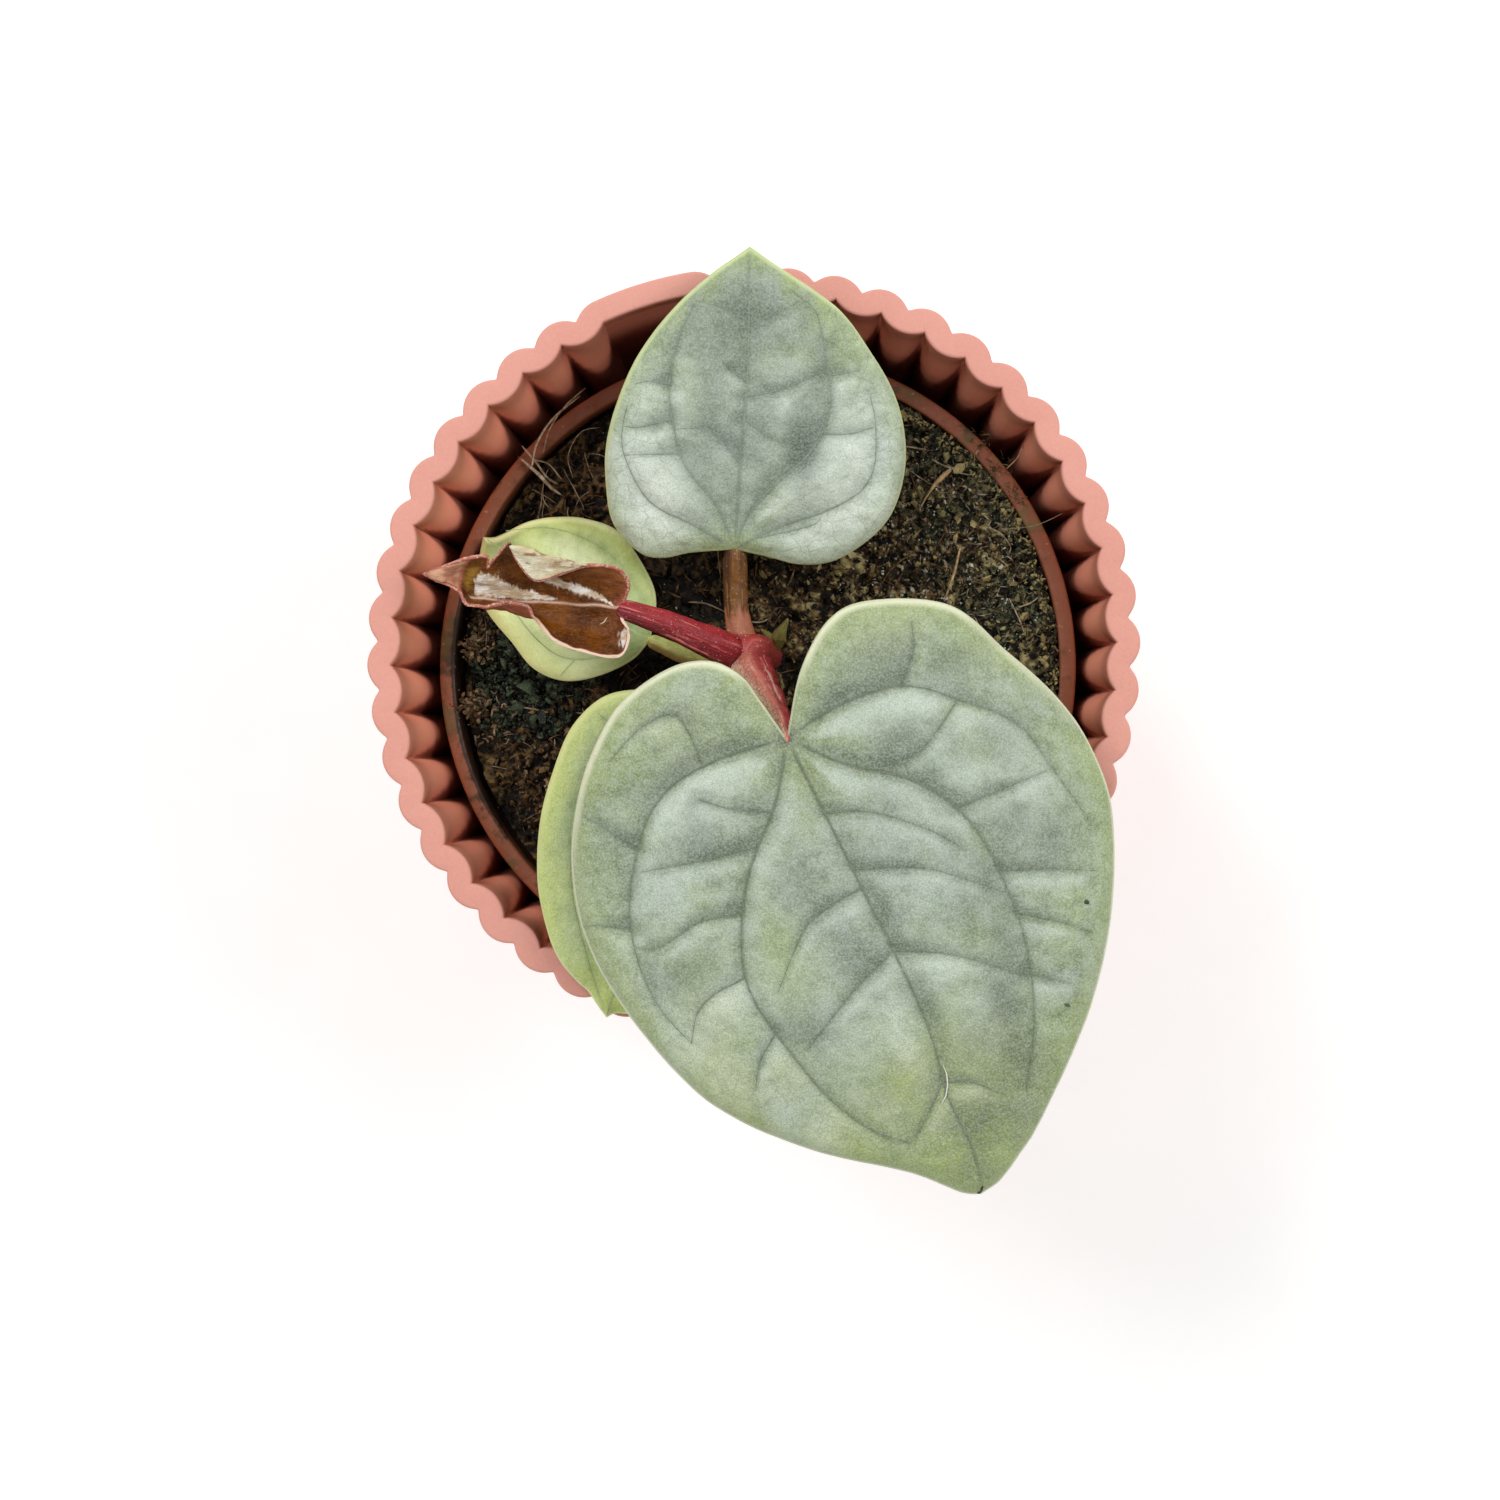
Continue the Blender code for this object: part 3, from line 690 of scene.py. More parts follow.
def bevel_rings(piece, level, width, segments):
    """Bevels the rings of edges that lie at one height."""
    bpy.ops.object.mode_set(mode="EDIT")
    bpy.ops.mesh.select_mode(type="EDGE")
    bpy.ops.mesh.select_all(action="DESELECT")
    mesh = bmesh.from_edit_mesh(piece.data)
    for edge in mesh.edges:
        a, b = (v.co for v in edge.verts)
        at_level = abs(a.z - level) < 1e-5 and abs(b.z - level) < 1e-5
        edge.select = at_level and abs(a.xy.length - b.xy.length) < 1e-5
    bmesh.update_edit_mesh(piece.data)
    bpy.ops.mesh.bevel(offset=width, segments=segments, affect="EDGES")
    bpy.ops.object.mode_set(mode="OBJECT")


def cut_levels(levels):
    """Adds rings of points to the active piece at these heights."""
    bpy.ops.object.mode_set(mode="EDIT")
    for level in levels:
        bpy.ops.mesh.select_all(action="SELECT")
        bpy.ops.mesh.bisect(plane_co=(0, 0, level), plane_no=(0, 0, 1))
    bpy.ops.object.mode_set(mode="OBJECT")


def fluting(angle):
    """0 in the groove between two flutes, 1 on a flute's crest and all along the plain panel."""
    pitch = math.tau / FLUTE_PITCHES
    turned = (angle - PANEL_START + 1e-9) % math.tau
    panel = PANEL_PITCHES * pitch
    span = np.where(turned < panel, panel, pitch)
    into = np.where(turned < panel, turned, (turned - panel) % pitch)
    return np.minimum(1.0, np.minimum(into, span - into) / (pitch / 2))


def arc(across, chord, rise):
    """Height of a round arc at a distance from its middle, measured down from its top."""
    radius = (chord**2 / 4 + rise**2) / (2 * rise)
    return radius - np.sqrt(radius**2 - across**2)


def make_cover_pot():
    """The cup's outer wall is pushed into round flutes, its inner wall into round lobes with sharp cusps."""
    wall = COVER_CREST_R - COVER_CUSP_R
    steps = FLUTE_PITCHES * FLUTE_STEPS
    piece = cup(steps, COVER_CREST_R, COVER_HEIGHT, wall, COVER_FLOOR, PANEL_START - math.pi / 2)
    bevel_rings(piece, COVER_HEIGHT, 0.00028, 4)
    bevel_rings(piece, 0.0, 0.0006, 3)
    cut_levels([COVER_HEIGHT - 0.001 * ring for ring in COVER_RINGS])
    points = points_of(piece)
    radius = np.hypot(points[:, 0], points[:, 1])
    swell = fluting(np.arctan2(points[:, 1], points[:, 0]))
    depth = COVER_HEIGHT - points[:, 2]
    chord = math.tau * COVER_CREST_R / FLUTE_PITCHES
    rise = COVER_CREST_R - COVER_GROOVE_R
    crest = 1 - arc((1 - swell) * chord / 2, chord, rise) / rise
    crest = (np.sqrt(crest**2 + 0.01) - 0.1) / (math.sqrt(1.01) - 0.1)
    outer = rise * (crest - 1)
    chord = math.tau * COVER_CUSP_R / FLUTE_PITCHES
    rise = COVER_CUSP_R - COVER_LOBE_R
    deeper = 1 + 0.6 * smooth_step(depth, 0.0003, 0.0050)
    inner = arc(swell * chord / 2, chord, rise) * deeper - rise
    through = np.clip((radius - COVER_CUSP_R) / wall, 0, 1)
    push = inner + (outer - inner) * through
    scale = (radius + push - depth * math.tan(COVER_LEAN)) / np.maximum(radius, 1e-9)
    points[:, :2] *= np.where(radius > 1e-4, scale, 1.0)[:, None]
    move_points(piece, points)
    shade_cover_pot(piece, points, swell, depth, 1 - smooth_step(through, 0.05, 0.5))
    piece.data.materials.append(cover_finish())
    return finished(piece, "cover_pot_fluted", "cover_pot", 32)


def shade_cover_pot(piece, points, swell, depth, inside):
    """Each inner lobe is lit down to a round foot, and dark below it and on the side that faces away."""
    turn = np.arctan2(points[:, 1], points[:, 0])
    rising = np.sign(fluting(turn + 0.001) - fluting(turn - 0.001))
    faced = swell * rising * np.cos(turn)
    foot = 0.0024 + 0.0108 * np.sqrt(1 - swell**2) + 0.0020 * faced
    averted = np.clip(-faced, 0, 1) ** 1.5
    hollow = 0.85 * smooth_step(depth, foot - 0.0004, foot + 0.0026)
    crest_shade = 0.30 * swell**3 * smooth_step(depth, 0.0, 0.002)
    hollow += crest_shade + 0.55 * averted * smooth_step(depth, 0.0003, 0.0030)
    hollow += 0.40 * smooth_step(depth, 0.0, 0.0004) * (1 - smooth_step(depth, 0.0012, 0.0052))
    lit_side = np.clip(-points[:, 0] / COVER_CREST_R, 0, 1)
    above_foot = 1 - smooth_step(depth, foot - 0.0012, foot + 0.0008)
    glow = 1.5 * inside * smooth_step(depth, 0.0024, 0.0086) * above_foot * (1 + 0.8 * faced)
    upper_band = smooth_step(depth, 0.0012, 0.0040) * (1 - smooth_step(depth, 0.0060, 0.0110))
    on_panel = (swell > 0.999) * upper_band
    # Painted light and shade on the inner wall: deep is painted shade, shaded takes a painted bounce light,
    # glow is a painted glow
    store(
        piece,
        deep=np.clip(inside * hollow * (1 - 0.40 * lit_side), 0, 0.9),
        shaded=inside * smooth_step(depth, 0.00003, 0.00060),
        glow=glow * (0.15 + 0.85 * lit_side) + 0.8 * inside * on_panel,
    )


def make_nursery_pot():
    """A tapered pot with a thick lip; the lip is a band that steps in to the wall below it."""
    height = POT_HIGH.z - POT_LOW.z
    lip_foot = height - POT_LIP_DEPTH
    step = lip_foot - 0.0004
    wall = POT_LIP_R - POT_LIP_INNER_R
    piece = cup(160, POT_LIP_R, height, wall, POT_WALL)
    bevel_rings(piece, height, 0.00025, 3)
    cut_levels([lip_foot, step])
    points = points_of(piece)
    radius = np.hypot(points[:, 0], points[:, 1])
    wall_r = POT_WALL_FOOT_R + (POT_WALL_TOP_R - POT_WALL_FOOT_R) * points[:, 2] / step
    inside = radius < POT_LIP_R - wall / 2
    below = points[:, 2] < step + 1e-5
    target = np.where(below, np.where(inside, wall_r - POT_WALL, wall_r), radius)
    points[:, :2] *= (target / np.maximum(radius, 1e-9))[:, None]
    angle = np.degrees(np.arctan2(points[:, 1], points[:, 0]))
    grime = np.zeros(len(points))
    for middle, reach, strength in LIP_GRIME:
        grime = np.maximum(grime, strength * bump_of((angle - middle + 180) % 360 - 180, reach))
    points += (POT_X, POT_Y, POT_LOW.z)
    move_points(piece, points)
    store(
        piece,
        grime=grime,
        banked=inside * np.exp(-(((angle % 360 - 185) / 42) ** 4)),
        inside=inside * (points[:, 2] < POT_HIGH.z - 0.00035),
    )
    piece.data.materials.append(nursery_finish())
    return finished(piece, "nursery_pot_brown", "nursery_pot")


# ---------------------------------------------------------------- soil and what lies on it


def soil_base(x, y):
    """The soil's height without its crumbs."""
    swell = np.sin(x / 0.0085 + 0.6) * np.cos(y / 0.0085 - 0.4)
    banked = smooth_step(np.hypot(x - POT_X, y - POT_Y), 0.0225, 0.0278) * smooth_step(x, 0.002, 0.014)
    return SOIL_LEVEL + SOIL_SLOPE_X * x + SOIL_SLOPE_Y * y + 0.0003 * swell + 0.0011 * banked


def soil_relief(x, y):
    """Crumbs on the soil, in metres above or below its base."""
    flat = np.stack([x, y, np.zeros_like(x)], 1)
    lumps = rough(flat, 0.0034, 3, 2.0)
    crumbs = np.array([noise.voronoi(Vector(p) / 0.0011)[0][0] for p in flat])
    return 0.0008 * lumps + 0.0011 * (0.42 - crumbs) + 0.00045 * rough(flat, 0.0006, 2, 7.0)


def soil_height(x, y):
    return soil_base(x, y) + soil_relief(x, y)


def make_soil():
    """The crumbly surface is one fine grid; its border is drawn down the pot's wall and closed below."""
    steps = 270

    def shape(u, v):
        u, v = 2 * u - 1, 2 * v - 1
        x, y = u * np.sqrt(1 - v * v / 2), v * np.sqrt(1 - u * u / 2)
        x, y = x * SOIL_R + POT_X, y * SOIL_R + POT_Y
        return np.stack([x, y, soil_height(x, y)], 1)

    piece = grid_piece(steps, steps, shape, soil_finish("peat", 0.0))
    placed = points_of(piece)
    height = placed[:, 2] - soil_base(placed[:, 0], placed[:, 1])
    # The tint rises with the height, so the hollows get painted shade and the crests painted light
    store(piece, tint=0.45 + height / 0.0016 + 0.25 * rough(placed, 0.0011, 2, 4.0))
    low_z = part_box("soil")[0].z
    foot_share = (POT_WALL_FOOT_R - POT_WALL - 0.0003) / SOIL_R
    bpy.ops.object.mode_set(mode="EDIT")
    bpy.ops.mesh.select_all(action="SELECT")
    bpy.ops.mesh.region_to_loop()
    for drop in (0.004, 0.040):
        bpy.ops.mesh.extrude_edges_move(TRANSFORM_OT_translate={"value": (0, 0, -drop)})
    bpy.ops.transform.resize(value=(foot_share, foot_share, 0), center_override=(POT_X, POT_Y, low_z))
    bpy.ops.mesh.edge_face_add()
    bpy.ops.object.mode_set(mode="OBJECT")
    return finished(piece, "soil_bed", "soil", 60)


def spread(draw, count, centre=(POT_X, POT_Y), reach=SOIL_R - 0.0008):
    """Random places on the soil, evenly over it, or around a centre."""
    spots = []
    while len(spots) < count:
        r, t = reach * math.sqrt(draw.random()), draw.uniform(0, math.tau)
        x, y = centre[0] + r * math.cos(t), centre[1] + r * math.sin(t)
        if math.hypot(x - POT_X, y - POT_Y) < SOIL_R - 0.0006:
            spots.append((x, y))
    return np.array(spots)


def on_soil(*spots):
    """Spots with their heights on the crumbs."""
    x, y = np.vstack(spots).T
    return zip(x, y, soil_height(x, y))


def make_crumbs():
    """Crumbs of peat all over and banked against the wall on the right, and bright grit among them."""
    draw = random.Random(11)
    places = []
    for x, y, z in on_soil(spread(draw, 5200)):
        size = 0.00012 + 0.00040 * draw.random() ** 2
        places.append((x, y, z + size * 0.3, size, draw.random()))
    for _ in range(1500):
        turn, r = math.radians(draw.uniform(-45, 75)), draw.uniform(0.0272, 0.0283)
        x, y = POT_X + r * math.cos(turn), POT_Y + r * math.sin(turn)
        low = float(soil_base(x, y)) - 0.0002
        z = draw.uniform(low, max(low, POT_HIGH.z - 0.0003))
        places.append((x, y, z, draw.uniform(0.00016, 0.00040), draw.random()))
    many_grains("soil_crumbs", places, soil_finish("peat crumbs", 0.15), 5, 50)

    small = [spread(draw, 300), spread(draw, 760, RIGHT_BED, 0.0110)]
    large = spread(draw, 70, (0.0175, 0.0105), 0.0075)
    extra = [0.0] * sum(map(len, small)) + [0.00012] * len(large)
    sizes = [0.00005 + 0.00011 * draw.random() ** 2 + more for more in extra]
    grit = zip(on_soil(*small, large), sizes)
    places = [(x, y, z + 0.0002, size, draw.random()) for (x, y, z), size in grit]
    many_grains("soil_grit", places, grit_finish(), 6, 30)


def lying_path(draw, x, y, length, curl, lift, steps):
    """A fibre that wanders over the soil, its ends sunk in or standing a little proud."""
    turn = draw.uniform(0, math.tau)
    bend = draw.uniform(-curl, curl)
    points = []
    for _ in range(steps + 1):
        points.append((x, y))
        x += length / steps * math.cos(turn)
        y += length / steps * math.sin(turn)
        turn += bend / steps + draw.uniform(-0.12, 0.12)
    points = np.array(points)
    out = np.hypot(points[:, 0] - POT_X, points[:, 1] - POT_Y)
    points = points[out < SOIL_R - 0.0004]
    if len(points) < 4:
        return None
    z = np.convolve(np.pad(soil_height(*points.T), 1, "edge"), (0.25, 0.5, 0.25), "valid")
    hump = np.sin(np.linspace(0, math.pi, len(points)))
    return np.column_stack([points, z + lift * (0.3 + hump)])


def fibre_paths(draw, spots, lengths, curl, lifts, radii, tints, steps=8):
    """Fibres at these spots, each with its own draw from the ranges."""
    paths = []
    for x, y in spots:
        path = lying_path(draw, x, y, draw.uniform(*lengths), curl, draw.uniform(*lifts), steps)
        if path is not None:
            paths.append((path, draw.uniform(*radii), draw.uniform(*tints)))
    return paths


def make_fibres():
    """Coir and pale fibres on the soil and over the lip, and tan fluff and moss tufts on the lip."""
    draw = random.Random(23)
    paths = fibre_paths(draw, spread(draw, 1100), (0.0006, 0.0022), 0.9, (0.0, 0.0004),
                        (0.00004, 0.00011), (0, 1), 4)
    paths += fibre_paths(draw, spread(draw, 90), (0.002, 0.005), 1.2, (0.0001, 0.0005),
                         (0.00004, 0.00008), (0, 1))
    many_tubes("coir_fibres", paths, fibre_finish("coir", (138, 104, 68), (40, 28, 18)))

    paths = fibre_paths(draw, spread(draw, 44), (0.0015, 0.0045), 1.0, (0.0002, 0.0008),
                        (0.00003, 0.00008), (0.5, 1))
    paths += fibre_paths(draw, spread(draw, 360, RIGHT_BED, 0.0110), (0.0003, 0.0009), 0.5, (0.0001, 0.0005),
                         (0.00003, 0.00006), (0.0, 0.7), 4)
    paths += fibre_paths(draw, spread(draw, 40, (-0.0215, -0.0035), 0.0060), (0.0005, 0.0015), 1.6,
                         (0.0002, 0.0006), (0.00003, 0.00006), (0.0, 0.6), 5)
    paths += fibre_paths(draw, spread(draw, 9, (-0.0185, 0.0175), 0.0034), (0.002, 0.005), 2.0,
                         (0.0003, 0.0010), (0.00003, 0.00005), (0.5, 1.0), 12)
    over_lip = [
        ([(23.1, 12.0, 54.0), (25.9, 12.2, 55.0), (27.6, 12.8, 55.2), (28.8, 13.4, 55.3)], 0.00004, 0.1),
        ([(23.6, 17.6, 54.6), (24.6, 18.6, 55.2), (25.2, 19.8, 55.0)], 0.00006, 0.3),
        ([(-21.9, 19.9, 54.9), (-20.6, 18.4, 55.1), (-19.6, 17.0, 54.3), (-18.6, 16.4, 53.6)], 0.00010, 1.0),
        ([(-20.8, 18.6, 55.1), (-19.4, 18.2, 54.6), (-18.3, 16.9, 53.8)], 0.00007, 0.9),
        ([(-15.9, 25.4, 54.6), (-17.6, 23.6, 56.0), (-19.2, 21.4, 55.6), (-19.9, 19.2, 54.9)], 0.00006, 1.0),
        ([(-14.6, 21.8, 53.6), (-16.4, 21.2, 54.6), (-17.6, 19.0, 54.4), (-17.2, 17.0, 53.8)], 0.00004, 0.8),
        ([(24.0, 5.6, 53.3), (25.0, 3.4, 53.7), (25.9, 1.0, 53.4)], 0.00007, 1.0),
    ]
    paths += [(smooth_line(mm(points), 14), radius, tint) for points, radius, tint in over_lip]
    many_tubes("pale_fibres", paths, fibre_finish("pale fibre", (206, 192, 164), (132, 114, 88)), 4)

    lip = POT_HIGH.z
    tufts = []
    for middle in ((21.3, 20.2), (24.2, 15.2), (22.9, 17.8)):
        for _ in range(26):
            x, y = (0.001 * (c + draw.gauss(0, 0.45)) for c in middle)
            turn, reach = draw.uniform(0, math.tau), draw.uniform(0.0004, 0.0011)
            up = np.array([math.cos(turn), math.sin(turn), 0.6]) * reach
            tufts.append(([(x, y, lip - 0.0004), (x + up[0] / 2, y + up[1] / 2, lip + up[2] * 0.7),
                           (x + up[0], y + up[1], lip + up[2])], 0.00005, draw.random()))
    fluff = []
    clumps = ((-26.0, -4.4), 1.20, 34), ((-26.3, 1.2), 0.9, 16), ((-24.4, -7.4), 0.9, 10)
    for (cx, cy), reach, count in clumps:
        for _ in range(count):
            x, y = 0.001 * (cx + draw.gauss(0, reach)), 0.001 * (cy + 0.6 * draw.gauss(0, reach))
            z = lip - 0.0005 + 0.0010 * max(0.0, draw.random() - 0.3)
            curl = [(x, y, z)]
            turn = draw.uniform(0, math.tau)
            for _ in range(5):
                turn += draw.uniform(-1.1, 1.1)
                x, y = x + 0.00016 * math.cos(turn), y + 0.00016 * math.sin(turn)
                z += draw.uniform(-0.00010, 0.00012)
                curl.append((x, y, z))
            fluff.append((curl, draw.uniform(0.00003, 0.00013), draw.random() ** 1.5))
    many_tubes("tan_fluff", fluff, fibre_finish("tan fluff", (170, 146, 112), (62, 46, 30)), 5)
    many_tubes("lip_tufts", tufts, fibre_finish("lip moss", (124, 112, 66), (48, 48, 26)))


def make_moss():
    """Fine dark moss at the soil's left edge with tan flakes beside it, and looser grains on the right."""
    draw = random.Random(31)
    moss = moss_finish()
    places = []
    for x, y in spread(draw, 2000, MOSS_CLUMP, 0.0068):
        r = math.hypot((x - MOSS_CLUMP[0]) / 0.0052, (y + 0.0012) / 0.0064)
        z = float(soil_base(x, y)) + 0.0014 * max(0.0, 1 - r * r) + draw.uniform(-0.0003, 0.0003)
        hill = noise.noise(Vector((x, y, 0.0)) / 0.0011)
        size = (0.00010 + 0.00036 * draw.random() ** 2) * (1 + max(0.0, hill))
        places.append((x, y, z + 0.0011 * hill, size, min(1.0, draw.random() ** 1.4 * (0.8 + 1.2 * hill))))
    many_grains("moss_clump_grains", places, moss, 8, 60, "moss_clump")

    spots = spread(draw, 700, (0.0225, 0.0055), 0.0060), spread(draw, 420, (0.0165, 0.0165), 0.0055)
    places = [(x, y, z + 0.0001, draw.uniform(0.00007, 0.00020), 0.9 * draw.random())
              for x, y, z in on_soil(*spots)]
    many_grains("moss_grains_right", places, moss, 9, 60)

    places = []
    spots = [spread(draw, 170, (-0.0258, -0.0052), 0.0022), spread(draw, 90, (-0.0262, 0.0030), 0.0020),
             spread(draw, 90, (-0.0195, -0.0105), 0.0040), spread(draw, 700, (0.0145, 0.0095), 0.0105)]
    for x, y, z in on_soil(*spots):
        lift = draw.uniform(0.0001, 0.0007) if x < -0.024 else draw.uniform(0.0, 0.0003)
        size = draw.uniform(0.00012, 0.00038) if x < 0 else draw.uniform(0.00007, 0.00020)
        places.append((x, y, z + lift, size, draw.random()))
    for middle in [(-26.8, -4.4)] * 70 + [(-27.0, 1.2)] * 40:
        x, y = (0.001 * (c + draw.gauss(0, 0.75)) for c in middle)
        z = POT_HIGH.z + draw.uniform(-0.0003, 0.0001)
        places.append((x, y, z, draw.uniform(0.00010, 0.00034), draw.random()))
    tan = fibre_finish("tan flake", (150, 124, 88), (60, 44, 28))
    many_grains("soil_flakes", places, tan, 14, 50)


def make_litter():
    """Pale roots over the nursery pot's lip, and loose straw."""
    over_lip = POT_HIGH.z + 0.0003
    root = fibre_finish("root", (222, 208, 182), (150, 126, 96))
    straw = fibre_finish("straw", (206, 178, 130), (136, 108, 72))
    pieces = [
        ("root_thick", root, "root", 8,
         [(-0.0224, 0.0190, over_lip + 0.0004), (-0.0212, 0.0180, over_lip + 0.0004),
          (-0.0201, 0.0170, 0.0546), (-0.0192, 0.0160, 0.0539), (-0.0180, 0.0152, 0.0534)],
         [0.00007, 0.00015, 0.00018, 0.00015, 0.00007]),
        ("root_thread", root, "root", 30,
         [(-0.0165, 0.0248, over_lip - 0.0010), (-0.0189, 0.0225, over_lip + 0.0004),
          (-0.0204, 0.0202, over_lip + 0.0006), (-0.0209, 0.0178, over_lip + 0.0011)],
         [0.00006, 0.00011, 0.00011, 0.00007]),
        ("straw_bent", straw, "straw", 20,
         [(0.0154, 0.0137, 0.0540), (0.0163, 0.0153, 0.0542), (0.0172, 0.0165, 0.0543),
          (0.0186, 0.0178, 0.0541)],
         [0.00004, 0.00007, 0.00009, 0.00013, 0.00020, 0.00025, 0.00024, 0.00010]),
        ("straw_thin", straw, "straw", 20,
         [(0.0194, 0.0106, 0.0540), (0.0188, 0.0080, 0.0540), (0.0179, 0.0054, 0.0537)],
         [0.00007, 0.00013, 0.00007]),
    ]
    for node, finish, slot, along, points, radii in pieces:
        piece = tube_piece(points, radii, finish, 10, along)
        store(piece, tint=np.ones(len(piece.data.vertices)))
        finished(piece, node + "_piece", node)


# ---------------------------------------------------------------- stem and stalks


def make_stalks():
    """The stem with its swollen node, the five leaf stalks, the bract, and the hairs and scales on them."""
    # Colours: across it from one side to the other in three steps, then groove, streaks and flecks
    # The red stalk's pale pink streaks are partly lines of its own and partly painted highlights
    red = stalk_finish("red stalk", (168, 38, 46), (158, 30, 42), (120, 20, 32), (80, 8, 16), (226, 124, 118),
                       (248, 220, 210), 0.5, 1.0)
    rosy = stalk_finish("rosy stalk", (180, 66, 62), (186, 70, 66), (162, 46, 50), (120, 30, 34),
                        (222, 140, 124), (240, 206, 190), 0.8, 0.25)
    worn = stalk_finish("worn stalk", (232, 192, 164), (212, 124, 106), (172, 48, 54), (110, 46, 36),
                        (244, 214, 190), (244, 220, 204), 0.9, 0.6, cracked=0.65)
    brown = stalk_finish("brown stalk", (112, 70, 20), (132, 82, 12), (72, 38, 8), (44, 20, 4),
                         (188, 130, 56), (222, 190, 160), 0.5, 0.55, 0.12, foot=(176, 106, 78))
    olive = stalk_finish("olive stalk", (206, 212, 124), (202, 200, 114), (176, 150, 84), (120, 112, 58),
                         (204, 206, 140), (210, 206, 160), 0.3, 0.5)
    bract = stalk_finish("bract", (142, 140, 74), (128, 124, 66), (104, 92, 50), (84, 72, 38),
                         (170, 164, 100), (190, 180, 130), 0.3, 0.5)
    # Node, finish, slot, points, radii, then ridges, their depth, how flat the top is, and lumps
    stalks = [
        ("stem", rosy, "red_stalk",
         [(1.1, 0.4, 45.0), (0.9, 0.3, 53.0), (0.1, 0.1, 59.0), (-0.5, -0.1, 61.5), (-0.7, -0.2, 62.6),
          (-0.8, -0.3, 63.8)],
         [1.5, 1.5, 1.5, 1.6, 1.9, 2.2, 2.05], 5, 0.02, 0.0, 0.14),
        ("petiole_front", worn, "red_stalk",
         [(-0.4, -0.3, 62.0), (-0.1, -1.4, 63.5), (1.2, -3.3, 66.9), (2.5, -5.5, 71.0), (3.2, -7.2, 74.2),
          (3.35, -8.1, 74.9)],
         [2.0, 1.85, 1.35, 1.05, 0.75, 0.20], 4, 0.04, 0.15, 0.14),
        ("petiole_back", brown, "brown_stalk",
         [(-0.7, 0.2, 61.6), (-1.0, 1.5, 61.4), (-1.5, 4.1, 61.2), (-1.6, 6.8, 61.5), (-1.6, 9.3, 62.1),
          (-1.5, 10.4, 62.4)],
         [1.5, 1.2, 1.05, 1.06, 1.05, 1.05, 0.6], 4, 0.06, 0.25, 0.05),
        ("petiole_new", red, "red_stalk",
         [(-0.8, -0.1, 62.4), (-1.9, 0.2, 63.0), (-5.0, 1.5, 64.8), (-8.2, 2.8, 66.3), (-12.0, 4.0, 67.4)],
         [1.6, 1.5, 1.25, 1.08, 0.85], 5, 0.04, 0.20, 0.05),
        ("petiole_small", olive, "olive_stalk",
         [(-0.3, -0.4, 53.4), (-3.9, -0.4, 54.6), (-6.6, 0.2, 55.6), (-9.9, 1.6, 56.9)],
         [0.7, 0.85, 0.8, 0.6], 4, 0.06, 0.2, 0.04),
        ("petiole_side", olive, "olive_stalk",
         [(-0.2, -1.0, 56.5), (-2.5, -3.4, 60.0), (-4.0, -5.0, 63.5), (-4.7, -6.3, 65.9)],
         [0.9, 0.7, 0.6, 0.5], 4, 0.06, 0.2, 0.04),
    ]
    for node, finish, slot, points, radii, *surface in stalks:
        piece = tube_piece(mm(points), [0.001 * r for r in radii], finish, 48, 90, *surface)
        finished(piece, node + "_stalk", node, 60)
    # The bract parts into two points like a V
    foot = (2.0, 0.8, 56.2)
    arms = [([foot, (1.3, 1.7, 58.4), (0.7, 2.4, 59.7)], [0.0004, 0.00060, 0.00008]),
            ([foot, (2.3, 1.9, 58.2), (3.2, 3.4, 59.8)], [0.0005, 0.00068, 0.00008])]
    arms = [tube_piece(mm(points), radii, bract, 16, 24, 3, 0.15) for points, radii in arms]
    finished(join_and_merge(arms, recalculate=False), "shoot_bract", "shoot", 60)
    make_fuzz()


def make_fuzz():
    """Short dark hairs on the front and new stalks, and pale scales on the node."""
    draw = random.Random(41)
    front = smooth_line([(0.0004, -0.0008, 0.0628), (0.0017, -0.0040, 0.0668), (0.0031, -0.0073, 0.0742)], 60)
    new = smooth_line([(-0.0015, 0.0003, 0.0630), (-0.0050, 0.0016, 0.0648), (-0.0105, 0.0036, 0.0670)], 60)
    paths = []
    for line in [front] * 150 + [new] * 40:
        centre = line[draw.randrange(len(line))]
        turn = draw.uniform(0, math.tau)
        out = np.array([math.cos(turn), math.sin(turn) * 0.5, 0.5 + 0.5 * draw.random()])
        out /= np.linalg.norm(out)
        start = centre + out * 0.0012 * 0.8
        length = draw.uniform(0.0002, 0.0006)
        bend = np.array([draw.uniform(-1, 1), draw.uniform(-1, 1), draw.uniform(-0.3, 0.6)]) * length * 0.4
        hair = [start, start + out * length * 0.6, start + out * length + bend]
        paths.append((hair, 0.000022, draw.random()))
    many_tubes("stalk_hairs", paths, fibre_finish("stalk hair", (150, 104, 84), (64, 32, 26)))
    scales = []
    for k in range(90):
        turn, up = draw.uniform(0, math.tau), draw.uniform(0.1, 1.0)
        flat = math.sqrt(1 - up * up)
        x = -0.0004 + 0.0019 * flat * math.cos(turn) - (0.0016 if k % 2 else 0.0)
        y = -0.0002 + 0.0019 * flat * math.sin(turn) + (0.0008 if k % 2 else 0.0)
        scales.append((x, y, 0.0622 + 0.0020 * up, draw.uniform(0.00004, 0.00010), draw.random()))
    pale = fibre_finish("pale scale", (238, 214, 198), (196, 140, 120))
    many_grains("node_scales", scales, pale, 12, 40)


# ---------------------------------------------------------------- leaves


